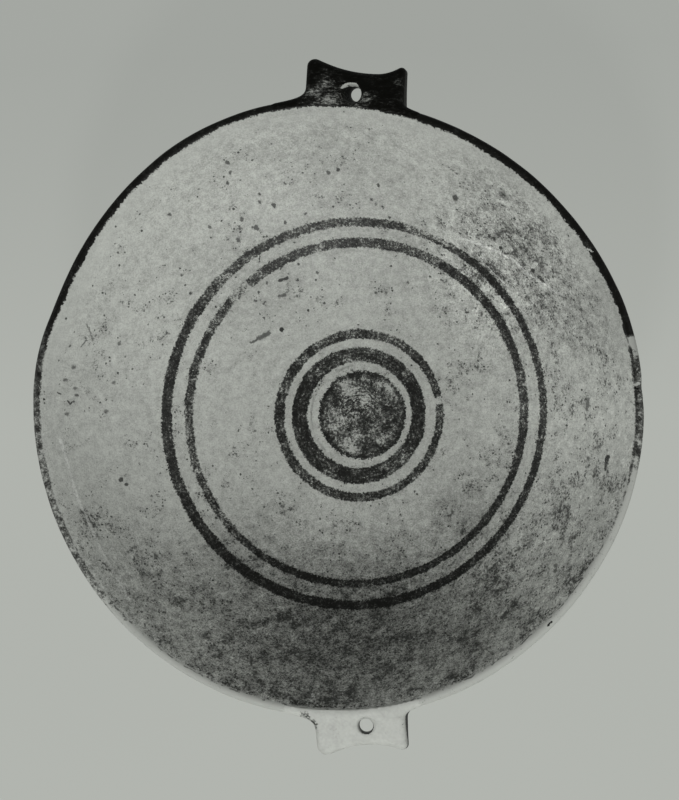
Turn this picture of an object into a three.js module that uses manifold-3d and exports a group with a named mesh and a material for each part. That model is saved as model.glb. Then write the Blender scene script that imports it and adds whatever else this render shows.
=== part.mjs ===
// Painted ceramic bowl with two pierced lugs. A clay body thrown on the wheel stands on a ring
// foot, carries a lug on the far and on the near side of its rim, and is painted with a disc and
// bands of dark slip. Millimetres, +Z up. The origin is the middle of the plane that the foot
// rests on, and +Y points to the far lug.

import * as THREE from "three";
import { mergeVertices, toCreasedNormals } from "three/addons/utils/BufferGeometryUtils.js";
import Module from "manifold-3d";

// Body
const rimRadius = 100; // outer edge of the lip
const bowlDepth = 46; // top of the lip down to the middle of the floor
const floorThickness = 6.5;
const wallThickness = 5.2;
const lipThickness = 3.4;
const bevelWidth = 2.6; // the more level strip just inside the lip
const bevelDrop = 2;
const wallCurvePower = 3.1; // a higher power keeps the floor level for longer

// Ring foot
const footRecess = 6; // resting plane up to the underside of the floor
const footRadius = 41; // outer edge of the foot, just above the resting face
const footWidth = 6; // the foot just above its resting face, edge to edge
const footFlareOutside = 2.5; // how far the foot widens up to its joint, outside
const footFlareInside = 1.5; // and inside
const footEdgeRound = 1.2; // worn edges of the resting face

// Painted slip, from the middle of the floor outwards
const slipThickness = 0.3;
const discRadius = 15;
const discGap = 2.5;
const broadBandWidth = 5.5;
const broadBandGap = 2.8;
const narrowBandWidth = 3.1;
const plainZoneWidth = 26.4;
const pairInnerBandWidth = 3;
const pairGap = 3.8;
const pairOuterBandWidth = 3.2;
const rimBandLap = 12; // how far the rim's band reaches down outside

// Lugs. Turn is the angle about the bowl's axis from the far side. The other places are read
// with that lug at the top, from its middle and from the rim's outer edge.
const lugRootThickness = 9;
const lugTipThickness = 6.5;
const lugSink = 0.8; // top of the lip down to the top of the lug
const lugEdgeRound = 1.5;
const edgeRoundLimitShare = 0.8; // of the smaller horn's round
const lugBury = 12; // how far a lug's blank reaches into the wall before it is cut to it
const flareSink = 1; // how far the end of a flare dips behind the rim's edge
const hornCurveShare = 0.55; // of the way from a horn to the saddle, where the curve is bent
const jointGap = 0.3; // between a lug and the wall that it is luted to
const farLug = {
  name: "far_lug",
  turn: 0,
  droop: THREE.MathUtils.degToRad(16), // how steeply the lug slopes down outwards
  offset: 6.9, // the lug's middle to the right of the bowl's axis
  width: 32.8,
  leftHornReach: 13.9,
  rightHornReach: 10.2,
  saddleReach: 8.2,
  saddlePlace: 7.2,
  leftHornRound: 2.6,
  rightHornRound: 2,
  leftFlareWidth: 10,
  leftFlareHeight: 4.8,
  rightFlareWidth: 4,
  rightFlareHeight: 1.6,
  holePlace: -1.3,
  holeDistance: 2.2,
  holeMouthRadius: 3.6,
  holeEndRadius: 3,
  holeLean: 0.5, // how far the hole drifts to the right on its way down
};
const nearLug = {
  name: "near_lug",
  turn: Math.PI,
  droop: THREE.MathUtils.degToRad(24),
  offset: -8.2,
  width: 29.4,
  leftHornReach: 10.1,
  rightHornReach: 12.4,
  saddleReach: 8.7,
  saddlePlace: -4.5,
  leftHornRound: 2,
  rightHornRound: 2.6,
  leftFlareWidth: 4,
  leftFlareHeight: 2,
  rightFlareWidth: 8.5,
  rightFlareHeight: 4.8,
  holePlace: -2.1,
  holeDistance: 2.8,
  holeMouthRadius: 3.2,
  holeEndRadius: 3,
  holeLean: 0.4,
};

// Faceting
const turnSegments = 64; // flats round every turned piece
const lipSegments = 5;
const holeSegments = 24;
const outlineSegments = 6; // flats along each curve of a lug's outline
const edgeSegments = 2;
const profileStep = 9; // longest flat along the wall's profile
const creaseAngle = THREE.MathUtils.degToRad(35); // edges sharper than this stay sharp
const cutOverrun = 4; // how far a cutting solid reaches past what it cuts
const searchSteps = 60;

// Finishes
const bareSlip = { colour: 0xb9b4a6, roughness: 0.6 };
const bareFoot = { colour: 0xa8a08f, roughness: 0.7 };
const wornPaint = { colour: 0x4a4842, roughness: 0.55 };
const bandPaint = { colour: 0x2c2a25, roughness: 0.5 };
const glossyPaint = { colour: 0x17150f, roughness: 0.38 };

const wasm = await Module();
wasm.setup();

// Heights and radii that follow from the sizes above
const floorHeight = footRecess + floorThickness;
const rimHeight = floorHeight + bowlDepth;
const lipRadius = lipThickness / 2;
const lipMiddle = new THREE.Vector2(rimRadius - lipRadius, rimHeight - lipRadius);
const lipStart = Math.PI / 2 + Math.atan2(bevelDrop, bevelWidth); // where lip and bevel meet
const bevelTop = pointOnLip(lipStart).place;
const bevelFootRadius = bevelTop.x - bevelWidth;
const wallRise = bevelTop.y - bevelDrop - floorHeight;
const broadBandInner = discRadius + discGap;
const broadBandOuter = broadBandInner + broadBandWidth;
const narrowBandInner = broadBandOuter + broadBandGap;
const narrowBandOuter = narrowBandInner + narrowBandWidth;
const pairInnerBandInner = narrowBandOuter + plainZoneWidth;
const pairInnerBandOuter = pairInnerBandInner + pairInnerBandWidth;
const pairOuterBandInner = pairInnerBandOuter + pairGap;
const pairOuterBandOuter = pairOuterBandInner + pairOuterBandWidth;
const footInnerRadius = footRadius - footWidth;

// A profile point is its place (radius, height) and the way that the surface faces there.
// This one is on the lip's round, at an angle from the outward direction.
function pointOnLip(angle) {
  const facing = new THREE.Vector2(Math.cos(angle), Math.sin(angle));
  return { place: facing.clone().multiplyScalar(lipRadius).add(lipMiddle), facing };
}

// The profile point on the inside of the wall at a radius.
function insidePoint(radius) {
  const share = radius / bevelFootRadius;
  const height = floorHeight + wallRise * share ** wallCurvePower;
  const slope = (wallCurvePower * wallRise * share ** (wallCurvePower - 1)) / bevelFootRadius;
  return {
    place: new THREE.Vector2(radius, height),
    facing: new THREE.Vector2(-slope, 1).normalize(),
  };
}

// The profile point on the outside of the wall, straight through it from an inside radius. The
// clay changes evenly from the floor's thickness to the wall's.
function outsidePoint(radius) {
  const inside = insidePoint(radius);
  const thickness = THREE.MathUtils.lerp(floorThickness, wallThickness, radius / bevelFootRadius);
  const facing = inside.facing.clone().negate();
  return { place: facing.clone().multiplyScalar(thickness).add(inside.place), facing };
}

// The inside radius at which a measure of the outside point reaches a value.
function insideRadiusWhere(measure, value) {
  let low = 0;
  let high = bevelFootRadius;
  for (let i = 0; i < searchSteps; i++) {
    const middle = (low + high) / 2;
    if (measure(outsidePoint(middle).place) < value) low = middle;
    else high = middle;
  }
  return (low + high) / 2;
}

// Stops in rising order, with equal steps between them no longer than the longest flat.
function filled(stops) {
  const all = [stops[0]];
  for (let i = 1; i < stops.length; i++) {
    const gap = stops[i] - stops[i - 1];
    const parts = Math.ceil(gap / profileStep);
    for (let k = 1; k <= parts; k++) all.push(stops[i - 1] + (gap * k) / parts);
  }
  return all;
}

function placesOf(points) {
  return points.map((p) => p.place.clone());
}

// The places of profile points, moved out along the way that they face.
function raised(points, distance) {
  return points.map((p) => p.facing.clone().multiplyScalar(distance).add(p.place));
}

// The body's profile in runs, from the middle of the floor up and over the lip, and down to the
// middle of the underside. Each run but the first three leaves out the point that it starts at.
const floorStops = [
  0,
  discRadius,
  broadBandInner,
  broadBandOuter,
  narrowBandInner,
  narrowBandOuter,
  pairInnerBandInner,
  pairInnerBandOuter,
  pairOuterBandInner,
  pairOuterBandOuter,
  bevelFootRadius,
];
const footInnerStop = insideRadiusWhere((p) => p.x, footInnerRadius - footFlareInside);
const footOuterStop = insideRadiusWhere((p) => p.x, footRadius + footFlareOutside);
const bandStop = insideRadiusWhere((p) => p.y, rimHeight - rimBandLap);
const insideRun = filled(floorStops).map(insidePoint);
const lipRun = Array.from({ length: lipSegments + 1 }, (_, i) =>
  pointOnLip(lipStart * (1 - i / lipSegments)),
);
const bandRun = filled([bandStop, bevelFootRadius]).map(outsidePoint).reverse();
const outsideRun = filled([footOuterStop, bandStop]).map(outsidePoint).reverse().slice(1);
const footRun = filled([footInnerStop, footOuterStop]).map(outsidePoint).reverse().slice(1);
const undersideRun = filled([0, footInnerStop]).map(outsidePoint).reverse().slice(1);

// A solid of revolution about Z. The profile's ends are on the axis, or it is closed here.
function turned(profile, segments = turnSegments) {
  const whole = profile[0].x === 0 ? profile : [...profile, profile[0].clone()];
  return new THREE.LatheGeometry(whole, segments).rotateX(Math.PI / 2);
}

// Solids for boolean work, and back to a geometry
function solidOf(geometry) {
  const bare = geometry.clone();
  bare.deleteAttribute("normal");
  bare.deleteAttribute("uv");
  const merged = mergeVertices(bare);
  return new wasm.Manifold(
    new wasm.Mesh({
      numProp: 3,
      vertProperties: merged.attributes.position.array,
      triVerts: new Uint32Array(merged.index.array),
    }),
  );
}

function geometryOf(solid) {
  const mesh = solid.getMesh();
  const geometry = new THREE.BufferGeometry();
  geometry.setAttribute("position", new THREE.BufferAttribute(mesh.vertProperties, 3));
  geometry.setIndex(new THREE.BufferAttribute(mesh.triVerts, 1));
  return toCreasedNormals(geometry, creaseAngle);
}

function piece(name, geometry, finish) {
  const material = new THREE.MeshStandardMaterial({
    name: `${name}_finish`,
    color: finish.colour,
    roughness: finish.roughness,
    metalness: 0,
  });
  const mesh = new THREE.Mesh(geometry, material);
  mesh.name = name;
  return mesh;
}

// Height of a lug's top face, and the lug's thickness, at a distance past the rim.
function lugTopAt(lug, distance) {
  return rimHeight - lugSink - distance * Math.tan(lug.droop);
}

function lugThicknessAt(lug, distance) {
  const reach = Math.max(lug.leftHornReach, lug.rightHornReach);
  return THREE.MathUtils.lerp(lugRootThickness, lugTipThickness, distance / reach);
}

// The tapered hole for a cord, pierced from above so close to the rim that it nicks the lip.
function lugHole(lug) {
  const mouthHeight = lugTopAt(lug, lug.holeDistance);
  const endHeight = mouthHeight - lugThicknessAt(lug, lug.holeDistance);
  const profile = [
    new THREE.Vector2(0, endHeight - cutOverrun),
    new THREE.Vector2(lug.holeEndRadius, endHeight - cutOverrun),
    new THREE.Vector2(lug.holeEndRadius, endHeight),
    new THREE.Vector2(lug.holeMouthRadius, mouthHeight),
    new THREE.Vector2(lug.holeMouthRadius, rimHeight + cutOverrun),
    new THREE.Vector2(0, rimHeight + cutOverrun),
  ];
  const hole = turned(profile, holeSegments);
  const places = hole.attributes.position;
  for (let i = 0; i < places.count; i++) {
    const share = (mouthHeight - places.getZ(i)) / (mouthHeight - endHeight);
    places.setX(i, places.getX(i) + lug.holeLean * THREE.MathUtils.clamp(share, 0, 1));
  }
  return hole.translate(lug.offset + lug.holePlace, rimRadius + lug.holeDistance, 0);
}

// What both holes take from the wall and from its painted lip
const wallHoles = [farLug, nearLug]
  .map((lug) => solidOf(lugHole(lug).rotateZ(lug.turn)))
  .reduce((all, hole) => all.add(hole));

function pierced(geometry) {
  return geometryOf(solidOf(geometry).subtract(wallHoles));
}

function bowlBody() {
  const runs = [insideRun, lipRun, bandRun, outsideRun, footRun, undersideRun];
  return piece("bowl_body", pierced(turned(runs.flatMap(placesOf).reverse())), bareSlip);
}

// The foot's top is the very stretch of the body's underside that it is luted to.
function footRing() {
  const profile = [
    new THREE.Vector2(footInnerRadius, footEdgeRound),
    new THREE.Vector2(footInnerRadius + footEdgeRound, 0),
    new THREE.Vector2(footRadius - footEdgeRound, 0),
    new THREE.Vector2(footRadius, footEdgeRound),
    ...placesOf([outsidePoint(footOuterStop), ...footRun]),
  ];
  return piece("foot_ring", turned(profile), bareFoot);
}

// A film of slip that lies on a run of the body's surface.
function film(run) {
  return turned([...placesOf(run), ...raised(run, slipThickness).reverse()]);
}

function floorFilm(innerRadius, outerRadius) {
  return film(insideRun.filter((p) => p.place.x >= innerRadius && p.place.x <= outerRadius));
}

function paintedSlip() {
  return [
    piece("centre_disc", floorFilm(0, discRadius), wornPaint),
    piece("broad_band", floorFilm(broadBandInner, broadBandOuter), bandPaint),
    piece("narrow_band", floorFilm(narrowBandInner, narrowBandOuter), bandPaint),
    piece("pair_inner_band", floorFilm(pairInnerBandInner, pairInnerBandOuter), bandPaint),
    piece("pair_outer_band", floorFilm(pairOuterBandInner, pairOuterBandOuter), bandPaint),
    piece("rim_band", pierced(film([...lipRun, ...bandRun])), glossyPaint),
  ];
}

// Everything that the painted wall fills, grown by the joint's gap, up through the bowl's mouth
function wallCutter() {
  const skin = raised([...lipRun, ...bandRun, ...outsideRun], slipThickness + jointGap).reverse();
  const mouthHeight = rimHeight + cutOverrun;
  const profile = [
    new THREE.Vector2(0, skin[0].y),
    ...skin,
    new THREE.Vector2(skin[skin.length - 1].x, mouthHeight),
    new THREE.Vector2(0, mouthHeight),
  ];
  return solidOf(turned(profile));
}

// The angle on a horn's round at which a straight line leaves it for a point. Side is 1 or -1.
function leavingAngle(middle, round, point, side) {
  const way = point.clone().sub(middle);
  return way.angle() + side * Math.acos(round / way.length());
}

// A lug's outline from above. The horns stand at its two outer corners with the saddle between
// them, and each side spreads in a flare where it runs into the rim.
function lugOutline(lug) {
  const half = lug.width / 2;
  const root = rimRadius - lugBury;
  const rimAt = (x) => Math.sqrt(rimRadius ** 2 - (x + lug.offset) ** 2);
  const leftEnd = -half - lug.leftFlareWidth;
  const rightEnd = half + lug.rightFlareWidth;
  const saddle = new THREE.Vector2(lug.saddlePlace, rimRadius + lug.saddleReach);
  const leftHorn = new THREE.Vector2(
    lug.leftHornRound - half,
    rimRadius + lug.leftHornReach - lug.leftHornRound,
  );
  const rightHorn = new THREE.Vector2(
    half - lug.rightHornRound,
    rimRadius + lug.rightHornReach - lug.rightHornRound,
  );
  const leftBend = new THREE.Vector2().lerpVectors(leftHorn, saddle, hornCurveShare);
  const rightBend = new THREE.Vector2().lerpVectors(rightHorn, saddle, hornCurveShare);
  leftBend.y = saddle.y;
  rightBend.y = saddle.y;
  const leftLeave = leavingAngle(leftHorn, lug.leftHornRound, leftBend, 1);
  const rightLeave = leavingAngle(rightHorn, lug.rightHornRound, rightBend, -1);
  const shape = new THREE.Shape();
  shape.moveTo(rightEnd, root);
  shape.lineTo(rightEnd, rimAt(rightEnd) - flareSink);
  shape.quadraticCurveTo(half, rimAt(half), half, rimAt(half) + lug.rightFlareHeight);
  shape.absarc(rightHorn.x, rightHorn.y, lug.rightHornRound, 0, rightLeave);
  shape.quadraticCurveTo(rightBend.x, rightBend.y, saddle.x, saddle.y);
  const horn = new THREE.EllipseCurve(
    leftHorn.x,
    leftHorn.y,
    lug.leftHornRound,
    lug.leftHornRound,
    leftLeave,
    Math.PI,
  );
  const hornStart = horn.getPoint(0);
  shape.quadraticCurveTo(leftBend.x, leftBend.y, hornStart.x, hornStart.y);
  shape.absarc(leftHorn.x, leftHorn.y, lug.leftHornRound, leftLeave, Math.PI);
  shape.lineTo(-half, rimAt(-half) + lug.leftFlareHeight);
  shape.quadraticCurveTo(-half, rimAt(-half), leftEnd, rimAt(leftEnd) - flareSink);
  shape.lineTo(leftEnd, root);
  return shape;
}

// The slab of clay that a lug is cut from. It thins towards its tip and slopes down outwards.
function lugBlank(lug) {
  const hornLimit = edgeRoundLimitShare * Math.min(lug.leftHornRound, lug.rightHornRound);
  const edgeRound = Math.min(lugEdgeRound, hornLimit);
  const slab = new THREE.ExtrudeGeometry(lugOutline(lug), {
    depth: lugRootThickness - 2 * edgeRound,
    bevelThickness: edgeRound,
    bevelSize: edgeRound,
    bevelOffset: -edgeRound,
    bevelSegments: edgeSegments,
    curveSegments: outlineSegments,
  });
  slab.translate(lug.offset, 0, edgeRound - lugRootThickness);
  const places = slab.attributes.position;
  for (let i = 0; i < places.count; i++) {
    const distance = Math.max(places.getY(i) - rimRadius, 0);
    const thinning = lugThicknessAt(lug, distance) / lugRootThickness;
    places.setZ(i, lugTopAt(lug, distance) + places.getZ(i) * thinning);
  }
  return slab;
}

function lugPiece(lug) {
  const solid = solidOf(lugBlank(lug)).subtract(solidOf(lugHole(lug))).subtract(wallCutter());
  const mesh = piece(lug.name, geometryOf(solid), glossyPaint);
  mesh.rotation.z = lug.turn;
  return mesh;
}

const bowl = new THREE.Group();
bowl.add(bowlBody(), footRing(), lugPiece(farLug), lugPiece(nearLug), ...paintedSlip());

export default bowl;
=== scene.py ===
# A painted ceramic bowl with two pierced lugs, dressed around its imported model. Sizes are in
# millimetres unless a name says metres. The wall's outline and the ring foot follow the same
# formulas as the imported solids, and so do the lugs, but for a last fit of their horns and holes.

import math

import bpy
import numpy as np
from mathutils import Matrix, Vector


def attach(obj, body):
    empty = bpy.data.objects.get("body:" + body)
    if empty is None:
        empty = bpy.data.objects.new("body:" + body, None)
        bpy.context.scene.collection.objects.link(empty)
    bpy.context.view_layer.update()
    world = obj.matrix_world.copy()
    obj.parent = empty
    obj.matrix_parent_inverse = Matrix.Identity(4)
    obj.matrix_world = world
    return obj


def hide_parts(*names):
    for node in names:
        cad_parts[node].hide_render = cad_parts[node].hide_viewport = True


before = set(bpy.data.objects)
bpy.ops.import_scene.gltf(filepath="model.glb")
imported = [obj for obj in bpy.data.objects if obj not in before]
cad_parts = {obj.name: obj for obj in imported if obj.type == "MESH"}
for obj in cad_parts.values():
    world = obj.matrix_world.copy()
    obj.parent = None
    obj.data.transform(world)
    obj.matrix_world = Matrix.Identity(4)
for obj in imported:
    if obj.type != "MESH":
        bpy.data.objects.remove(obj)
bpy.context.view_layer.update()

scene = bpy.context.scene
METRE = 0.001  # one millimetre in metres


# A new object in the scene
def placed(name, data):
    thing = bpy.data.objects.new(name, data)
    scene.collection.objects.link(thing)
    return thing


# Body
RIM_RADIUS = 100.0
FLOOR_HEIGHT = 12.5
RIM_HEIGHT = 58.5
FLOOR_THICKNESS = 6.5
WALL_THICKNESS = 5.2
LIP_RADIUS = 1.7
BEVEL_WIDTH = 2.6
BEVEL_DROP = 2.0
WALL_CURVE_POWER = 3.1
BAND_LAP = 12.0  # how far the rim's band reaches down outside

# Ring foot
FOOT_RADIUS = 41.0
FOOT_WIDTH = 6.0
FOOT_FLARE_OUTSIDE = 2.5
FOOT_FLARE_INSIDE = 1.5
FOOT_EDGE_ROUND = 1.2

# Colours, as they render in white light
SLIP = (0.347, 0.360, 0.332)
SLIP_RUBBED = (0.520, 0.535, 0.505)
SPECK_DARK = (0.012, 0.0125, 0.011)
PAINT_DARK = (0.0042, 0.0043, 0.0036)
GLOSSY_DARK = (0.0020, 0.0020, 0.0014)
GLOSSY_THIN = (0.040, 0.042, 0.037)
# Pale slip painted over the near lug's top as a painted highlight, for the glare of the near soft
# box on its dark paint
SLIP_PAINTED_HIGHLIGHT = (0.372, 0.384, 0.356)
CLAY_BARE = (0.300, 0.292, 0.262)
CLAY_FOOT = (0.235, 0.222, 0.192)


# The photograph's view, from a little to the right of straight above
CAMERA_AIM = Vector((2.46, 1.68, RIM_HEIGHT))
CAMERA_LEAN = Vector((0.2054, -0.0759, 1.0))
CAMERA_METRES_AWAY = 1.1
CAMERA_LENS = 153.54
CAMERA_SENSOR = 36.0


def place_camera():
    back = CAMERA_LEAN.normalized()
    right = Vector((0, 1, 0)).cross(back).normalized()
    up = back.cross(right)
    data = bpy.data.cameras.new("Camera")
    data.sensor_width = CAMERA_SENSOR
    data.lens = CAMERA_LENS
    data.clip_start = 0.05
    data.clip_end = 20.0
    camera = placed("Camera", data)
    turn = Matrix((right, up, back)).transposed().to_4x4()
    stand = CAMERA_AIM * METRE + CAMERA_METRES_AWAY * back
    camera.matrix_world = Matrix.Translation(stand) @ turn
    scene.camera = camera


place_camera()


# How far a random pattern is moved for each count of its seed
SEED_SHIFT = (31.7, 17.9, 23.3)
SCATTER_SHIFT = (17.3, 5.9, 11.1)


def seeded(seed, shift=SEED_SHIFT):
    return tuple(seed * part for part in shift)


# Wiring: makes the nodes of one tree and joins them up
class Wiring:
    def __init__(self, tree):
        self.tree = tree
        self.shifted = {}  # places already shifted by a seed

    def node(self, kind, settings=None, **plugs):
        made = self.tree.nodes.new(kind)
        for key, setting in (settings or {}).items():
            setattr(made, key, setting)
        for key, plug in plugs.items():
            self.plug(made.inputs[key.replace("_", " ")], plug)
        return made

    def plug(self, socket, plug):
        if isinstance(plug, bpy.types.NodeSocket):
            self.tree.links.new(plug, socket)
        elif socket.type == "RGBA" and len(plug) == 3:
            socket.default_value = (*plug, 1.0)
        else:
            socket.default_value = plug

    # The outputs of a new node whose inputs are plugged in order
    def wired(self, kind, settings, *plugs):
        made = self.node(kind, settings)
        for socket, plug in zip(made.inputs, plugs):
            self.plug(socket, plug)
        return made.outputs

    def math(self, operation, *plugs):
        return self.wired("ShaderNodeMath", {"operation": operation}, *plugs)[0]

    def vector(self, operation, *plugs, scale=None):
        outputs = self.wired("ShaderNodeVectorMath", {"operation": operation}, *plugs)
        if scale is not None:
            self.plug(outputs[0].node.inputs["Scale"], scale)
        gives_number = operation in ("LENGTH", "DISTANCE", "DOT_PRODUCT")
        return outputs["Value" if gives_number else "Vector"]

    def total(self, *plugs):
        result = plugs[0]
        for plug in plugs[1:]:
            result = self.math("ADD", result, plug)
        return result

    def product(self, *plugs):
        result = plugs[0]
        for plug in plugs[1:]:
            result = self.math("MULTIPLY", result, plug)
        return result

    # 0 below the first value and 1 above the second, with a soft step between them
    def step(self, plug, low, high, floor=0.0, ceiling=1.0):
        soft = {"interpolation_type": "SMOOTHSTEP", "clamp": False}
        return self.wired("ShaderNodeMapRange", soft, plug, low, high, floor, ceiling)[0]

    # The same between any two values, with an even slope
    def spread(self, plug, low, high, floor, ceiling):
        return self.wired("ShaderNodeMapRange", None, plug, low, high, floor, ceiling)[0]

    # Soft random values round a half, with features of about the given size in millimetres
    def noise(self, place, size, seed, detail=2.0, roughness=0.5, distortion=0.0):
        key = (place.node.name, place.name, seed)
        if key not in self.shifted:
            self.shifted[key] = self.vector("ADD", place, seeded(seed))
        made = self.node(
            "ShaderNodeTexNoise",
            Vector=self.shifted[key],
            Scale=1.0 / size,
            Detail=detail,
            Roughness=roughness,
            Distortion=distortion,
        )
        return made.outputs[0]

    # The same, as a swing either side of nothing
    def swing(self, place, size, seed, amount, detail=2.0, roughness=0.5, distortion=0.0):
        found = self.noise(place, size, seed, detail, roughness, distortion)
        return self.product(self.math("SUBTRACT", found, 0.5), amount)

    # Distance in millimetres to the nearest of many scattered points, and two random values that
    # are the same all over that point's cell
    def scatter(self, place, size, seed):
        moved = self.vector("ADD", place, seeded(seed, SCATTER_SHIFT))
        made = self.node("ShaderNodeTexVoronoi", Vector=moved, Scale=1.0 / size)
        apart = self.product(made.outputs["Distance"], size)
        split = self.node("ShaderNodeSeparateColor", Color=made.outputs["Color"])
        return apart, split.outputs[0], split.outputs[1]

    def tint(self, share, first, second):
        made = self.node("ShaderNodeMix", {"data_type": "RGBA"})
        self.plug(made.inputs[0], share)
        self.plug(made.inputs[6], first)
        self.plug(made.inputs[7], second)
        return made.outputs[2]

    def mixed(self, share, first, second):
        made = self.node("ShaderNodeMix")
        self.plug(made.inputs[0], share)
        self.plug(made.inputs[2], first)
        self.plug(made.inputs[3], second)
        return made.outputs[0]

    def darkened(self, colour, amount):
        return self.vector("SCALE", colour, scale=self.math("SUBTRACT", 1.0, amount))

    # Object coordinates in millimetres
    def place(self):
        found = self.node("ShaderNodeTexCoord").outputs["Object"]
        return self.vector("SCALE", found, scale=1.0 / METRE)

    # The place that a point would have on a bowl turned perfectly round
    def trued(self):
        return self.node("ShaderNodeGroup", {"node_tree": TRUED_PLACE}).outputs[0]

    def parts(self, place):
        return self.wired("ShaderNodeSeparateXYZ", None, place)

    def joined(self, *parts):
        return self.wired("ShaderNodeCombineXYZ", None, *parts)[0]

    # Distance from an upright axis, and the level direction away from it
    def polar(self, place, shift=(0.0, 0.0)):
        moved = self.vector("SUBTRACT", place, (*shift, 0.0))
        level = self.vector("MULTIPLY", moved, (1.0, 1.0, 0.0))
        return self.vector("LENGTH", level), self.vector("NORMALIZE", level)


# The rim left the wheel a little out of round: degrees, and millimetres in or out at the rim
OUT_OF_ROUND = (
    (0, 0.60), (14, 0.0), (27, -0.95), (42, -1.75), (58, -1.95), (72, -1.40), (86, -0.45),
    (100, 0.85), (114, 1.35), (130, 0.85), (148, -0.15), (157, -0.35), (171, 0.95), (182, 0.65),
    (196, 0.0), (214, -0.70), (232, -0.75), (250, -0.30), (270, 0.20), (290, 0.70), (306, 0.75),
    (325, 1.05), (345, 1.30), (360, 0.60),
)
SWAY_RANGE = 8.0
SWAY_START = 60.0
SWAY_END = 98.0
SWAY_STEPS = 1440  # quarters of a degree


# A value that follows the angle round the bowl, from rows of (degrees, value) within half the
# range either side of nothing. The curve that holds the rows comes with it.
def value_by_angle(w, way, rows, value_range, handles):
    x, y, _ = w.parts(way)
    turn = w.math("FRACT", w.math("DIVIDE", w.math("ARCTAN2", y, x), math.tau))
    node = w.tree.nodes.new("ShaderNodeFloatCurve")
    curve = node.mapping.curves[0]
    while len(curve.points) < len(rows):
        curve.points.new(0.5, 0.5)
    for point, (degrees, value) in zip(curve.points, rows):
        point.location = (degrees / 360, 0.5 + value / value_range)
        point.handle_type = handles
    node.mapping.update()
    w.plug(node.inputs["Value"], turn)
    return w.product(w.math("SUBTRACT", node.outputs[0], 0.5), value_range), node


def trued_place_group():
    tree = bpy.data.node_groups.new("Trued place", "ShaderNodeTree")
    tree.interface.new_socket("Place", in_out="OUTPUT", socket_type="NodeSocketVector")
    w = Wiring(tree)
    place = w.place()
    radius, way = w.polar(place)
    amount, curve = value_by_angle(w, way, OUT_OF_ROUND, SWAY_RANGE, "AUTO")
    amount = w.product(amount, w.step(radius, SWAY_START, SWAY_END))
    back = w.vector("SCALE", way, scale=w.product(amount, -1.0))
    w.node("NodeGroupOutput", Place=w.vector("ADD", place, back))
    return tree, curve


TRUED_PLACE, SWAY_NODE = trued_place_group()
SWAY_TURNS = np.linspace(0, 1, SWAY_STEPS + 1)
SWAY_TABLE = np.array(
    [SWAY_NODE.mapping.evaluate(SWAY_NODE.mapping.curves[0], turn) for turn in SWAY_TURNS]
)


# Moves a finished piece's points as the rim was pressed out of round
def pressed(piece):
    mesh = piece.data
    flat = np.empty(len(mesh.vertices) * 3)
    mesh.vertices.foreach_get("co", flat)
    points = flat.reshape(-1, 3)
    radius = np.hypot(points[:, 0], points[:, 1]) / METRE
    turn = np.arctan2(points[:, 1], points[:, 0]) / math.tau % 1.0
    amount = (np.interp(turn, SWAY_TURNS, SWAY_TABLE) - 0.5) * SWAY_RANGE
    share = np.clip((radius - SWAY_START) / (SWAY_END - SWAY_START), 0, 1)
    amount *= share * share * (3 - 2 * share)
    points[:, :2] *= (1 + amount / np.maximum(radius, 1.0))[:, None]
    mesh.vertices.foreach_set("co", points.ravel())
    mesh.update()
    return piece


# The body's outline
def inside_height(radius):
    share = np.asarray(radius, float) / BEVEL_FOOT_RADIUS
    return FLOOR_HEIGHT + WALL_RISE * share**WALL_CURVE_POWER


def outside_point(radius):
    slope = WALL_CURVE_POWER * (inside_height(radius) - FLOOR_HEIGHT) / np.maximum(radius, 1e-6)
    length = np.sqrt(1 + slope**2)
    share = radius / BEVEL_FOOT_RADIUS
    thickness = FLOOR_THICKNESS + (WALL_THICKNESS - FLOOR_THICKNESS) * share
    return np.stack(
        [radius + thickness * slope / length, inside_height(radius) - thickness / length], -1
    )


LIP_MIDDLE = np.array([RIM_RADIUS - LIP_RADIUS, RIM_HEIGHT - LIP_RADIUS])
LIP_START = math.pi / 2 + math.atan2(BEVEL_DROP, BEVEL_WIDTH)
BEVEL_TOP = LIP_MIDDLE + LIP_RADIUS * np.array([math.cos(LIP_START), math.sin(LIP_START)])
BEVEL_FOOT_RADIUS = BEVEL_TOP[0] - BEVEL_WIDTH
WALL_RISE = BEVEL_TOP[1] - BEVEL_DROP - FLOOR_HEIGHT
FINE_STEP = 0.1
EASE_RADIUS = 90.5  # where the inside begins to ease towards the lip
EASE_LENGTH = 1.0  # over which the outline's corners are eased


# Points along a curve that leaves for the bend and comes in from it
def bent(start, bend, end, count=14):
    t = np.linspace(0.0, 1.0, count)[:, None]
    start, bend, end = (np.array(p, float) for p in (start, bend, end))
    return (1 - t) ** 2 * start + 2 * t * (1 - t) * bend + t**2 * end


# Points on an arc of a circle
def arc(middle, radius, start, end, count=10):
    angles = np.linspace(start, end, count)
    return np.array(middle) + radius * np.stack([np.cos(angles), np.sin(angles)], -1)


def lengths_along(points):
    return np.r_[0.0, np.cumsum(np.hypot(*np.diff(points, axis=0).T))]


# Even steps along a polyline
def even_steps(points, step):
    lengths = lengths_along(points)
    stops = np.linspace(0.0, lengths[-1], int(lengths[-1] / step) + 1)
    return np.stack([np.interp(stops, lengths, points[:, k]) for k in (0, 1)], -1)


# The same points with their corners eased over about the given length
def eased(points, length):
    reach = int(length / FINE_STEP)
    weights = np.hanning(2 * reach + 3)[1:-1]
    weights /= weights.sum()
    before = 2 * points[:1] - points[reach:0:-1]
    after = 2 * points[-1:] - points[-2 : -reach - 2 : -1]
    held = np.concatenate([before, points, after])
    return np.stack([np.convolve(held[:, k], weights, "valid") for k in (0, 1)], -1)


def facings(points):
    ahead = np.gradient(points, axis=0)
    ahead /= np.hypot(*ahead.T)[:, None]
    return np.stack([-ahead[:, 1], ahead[:, 0]], -1)


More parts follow.
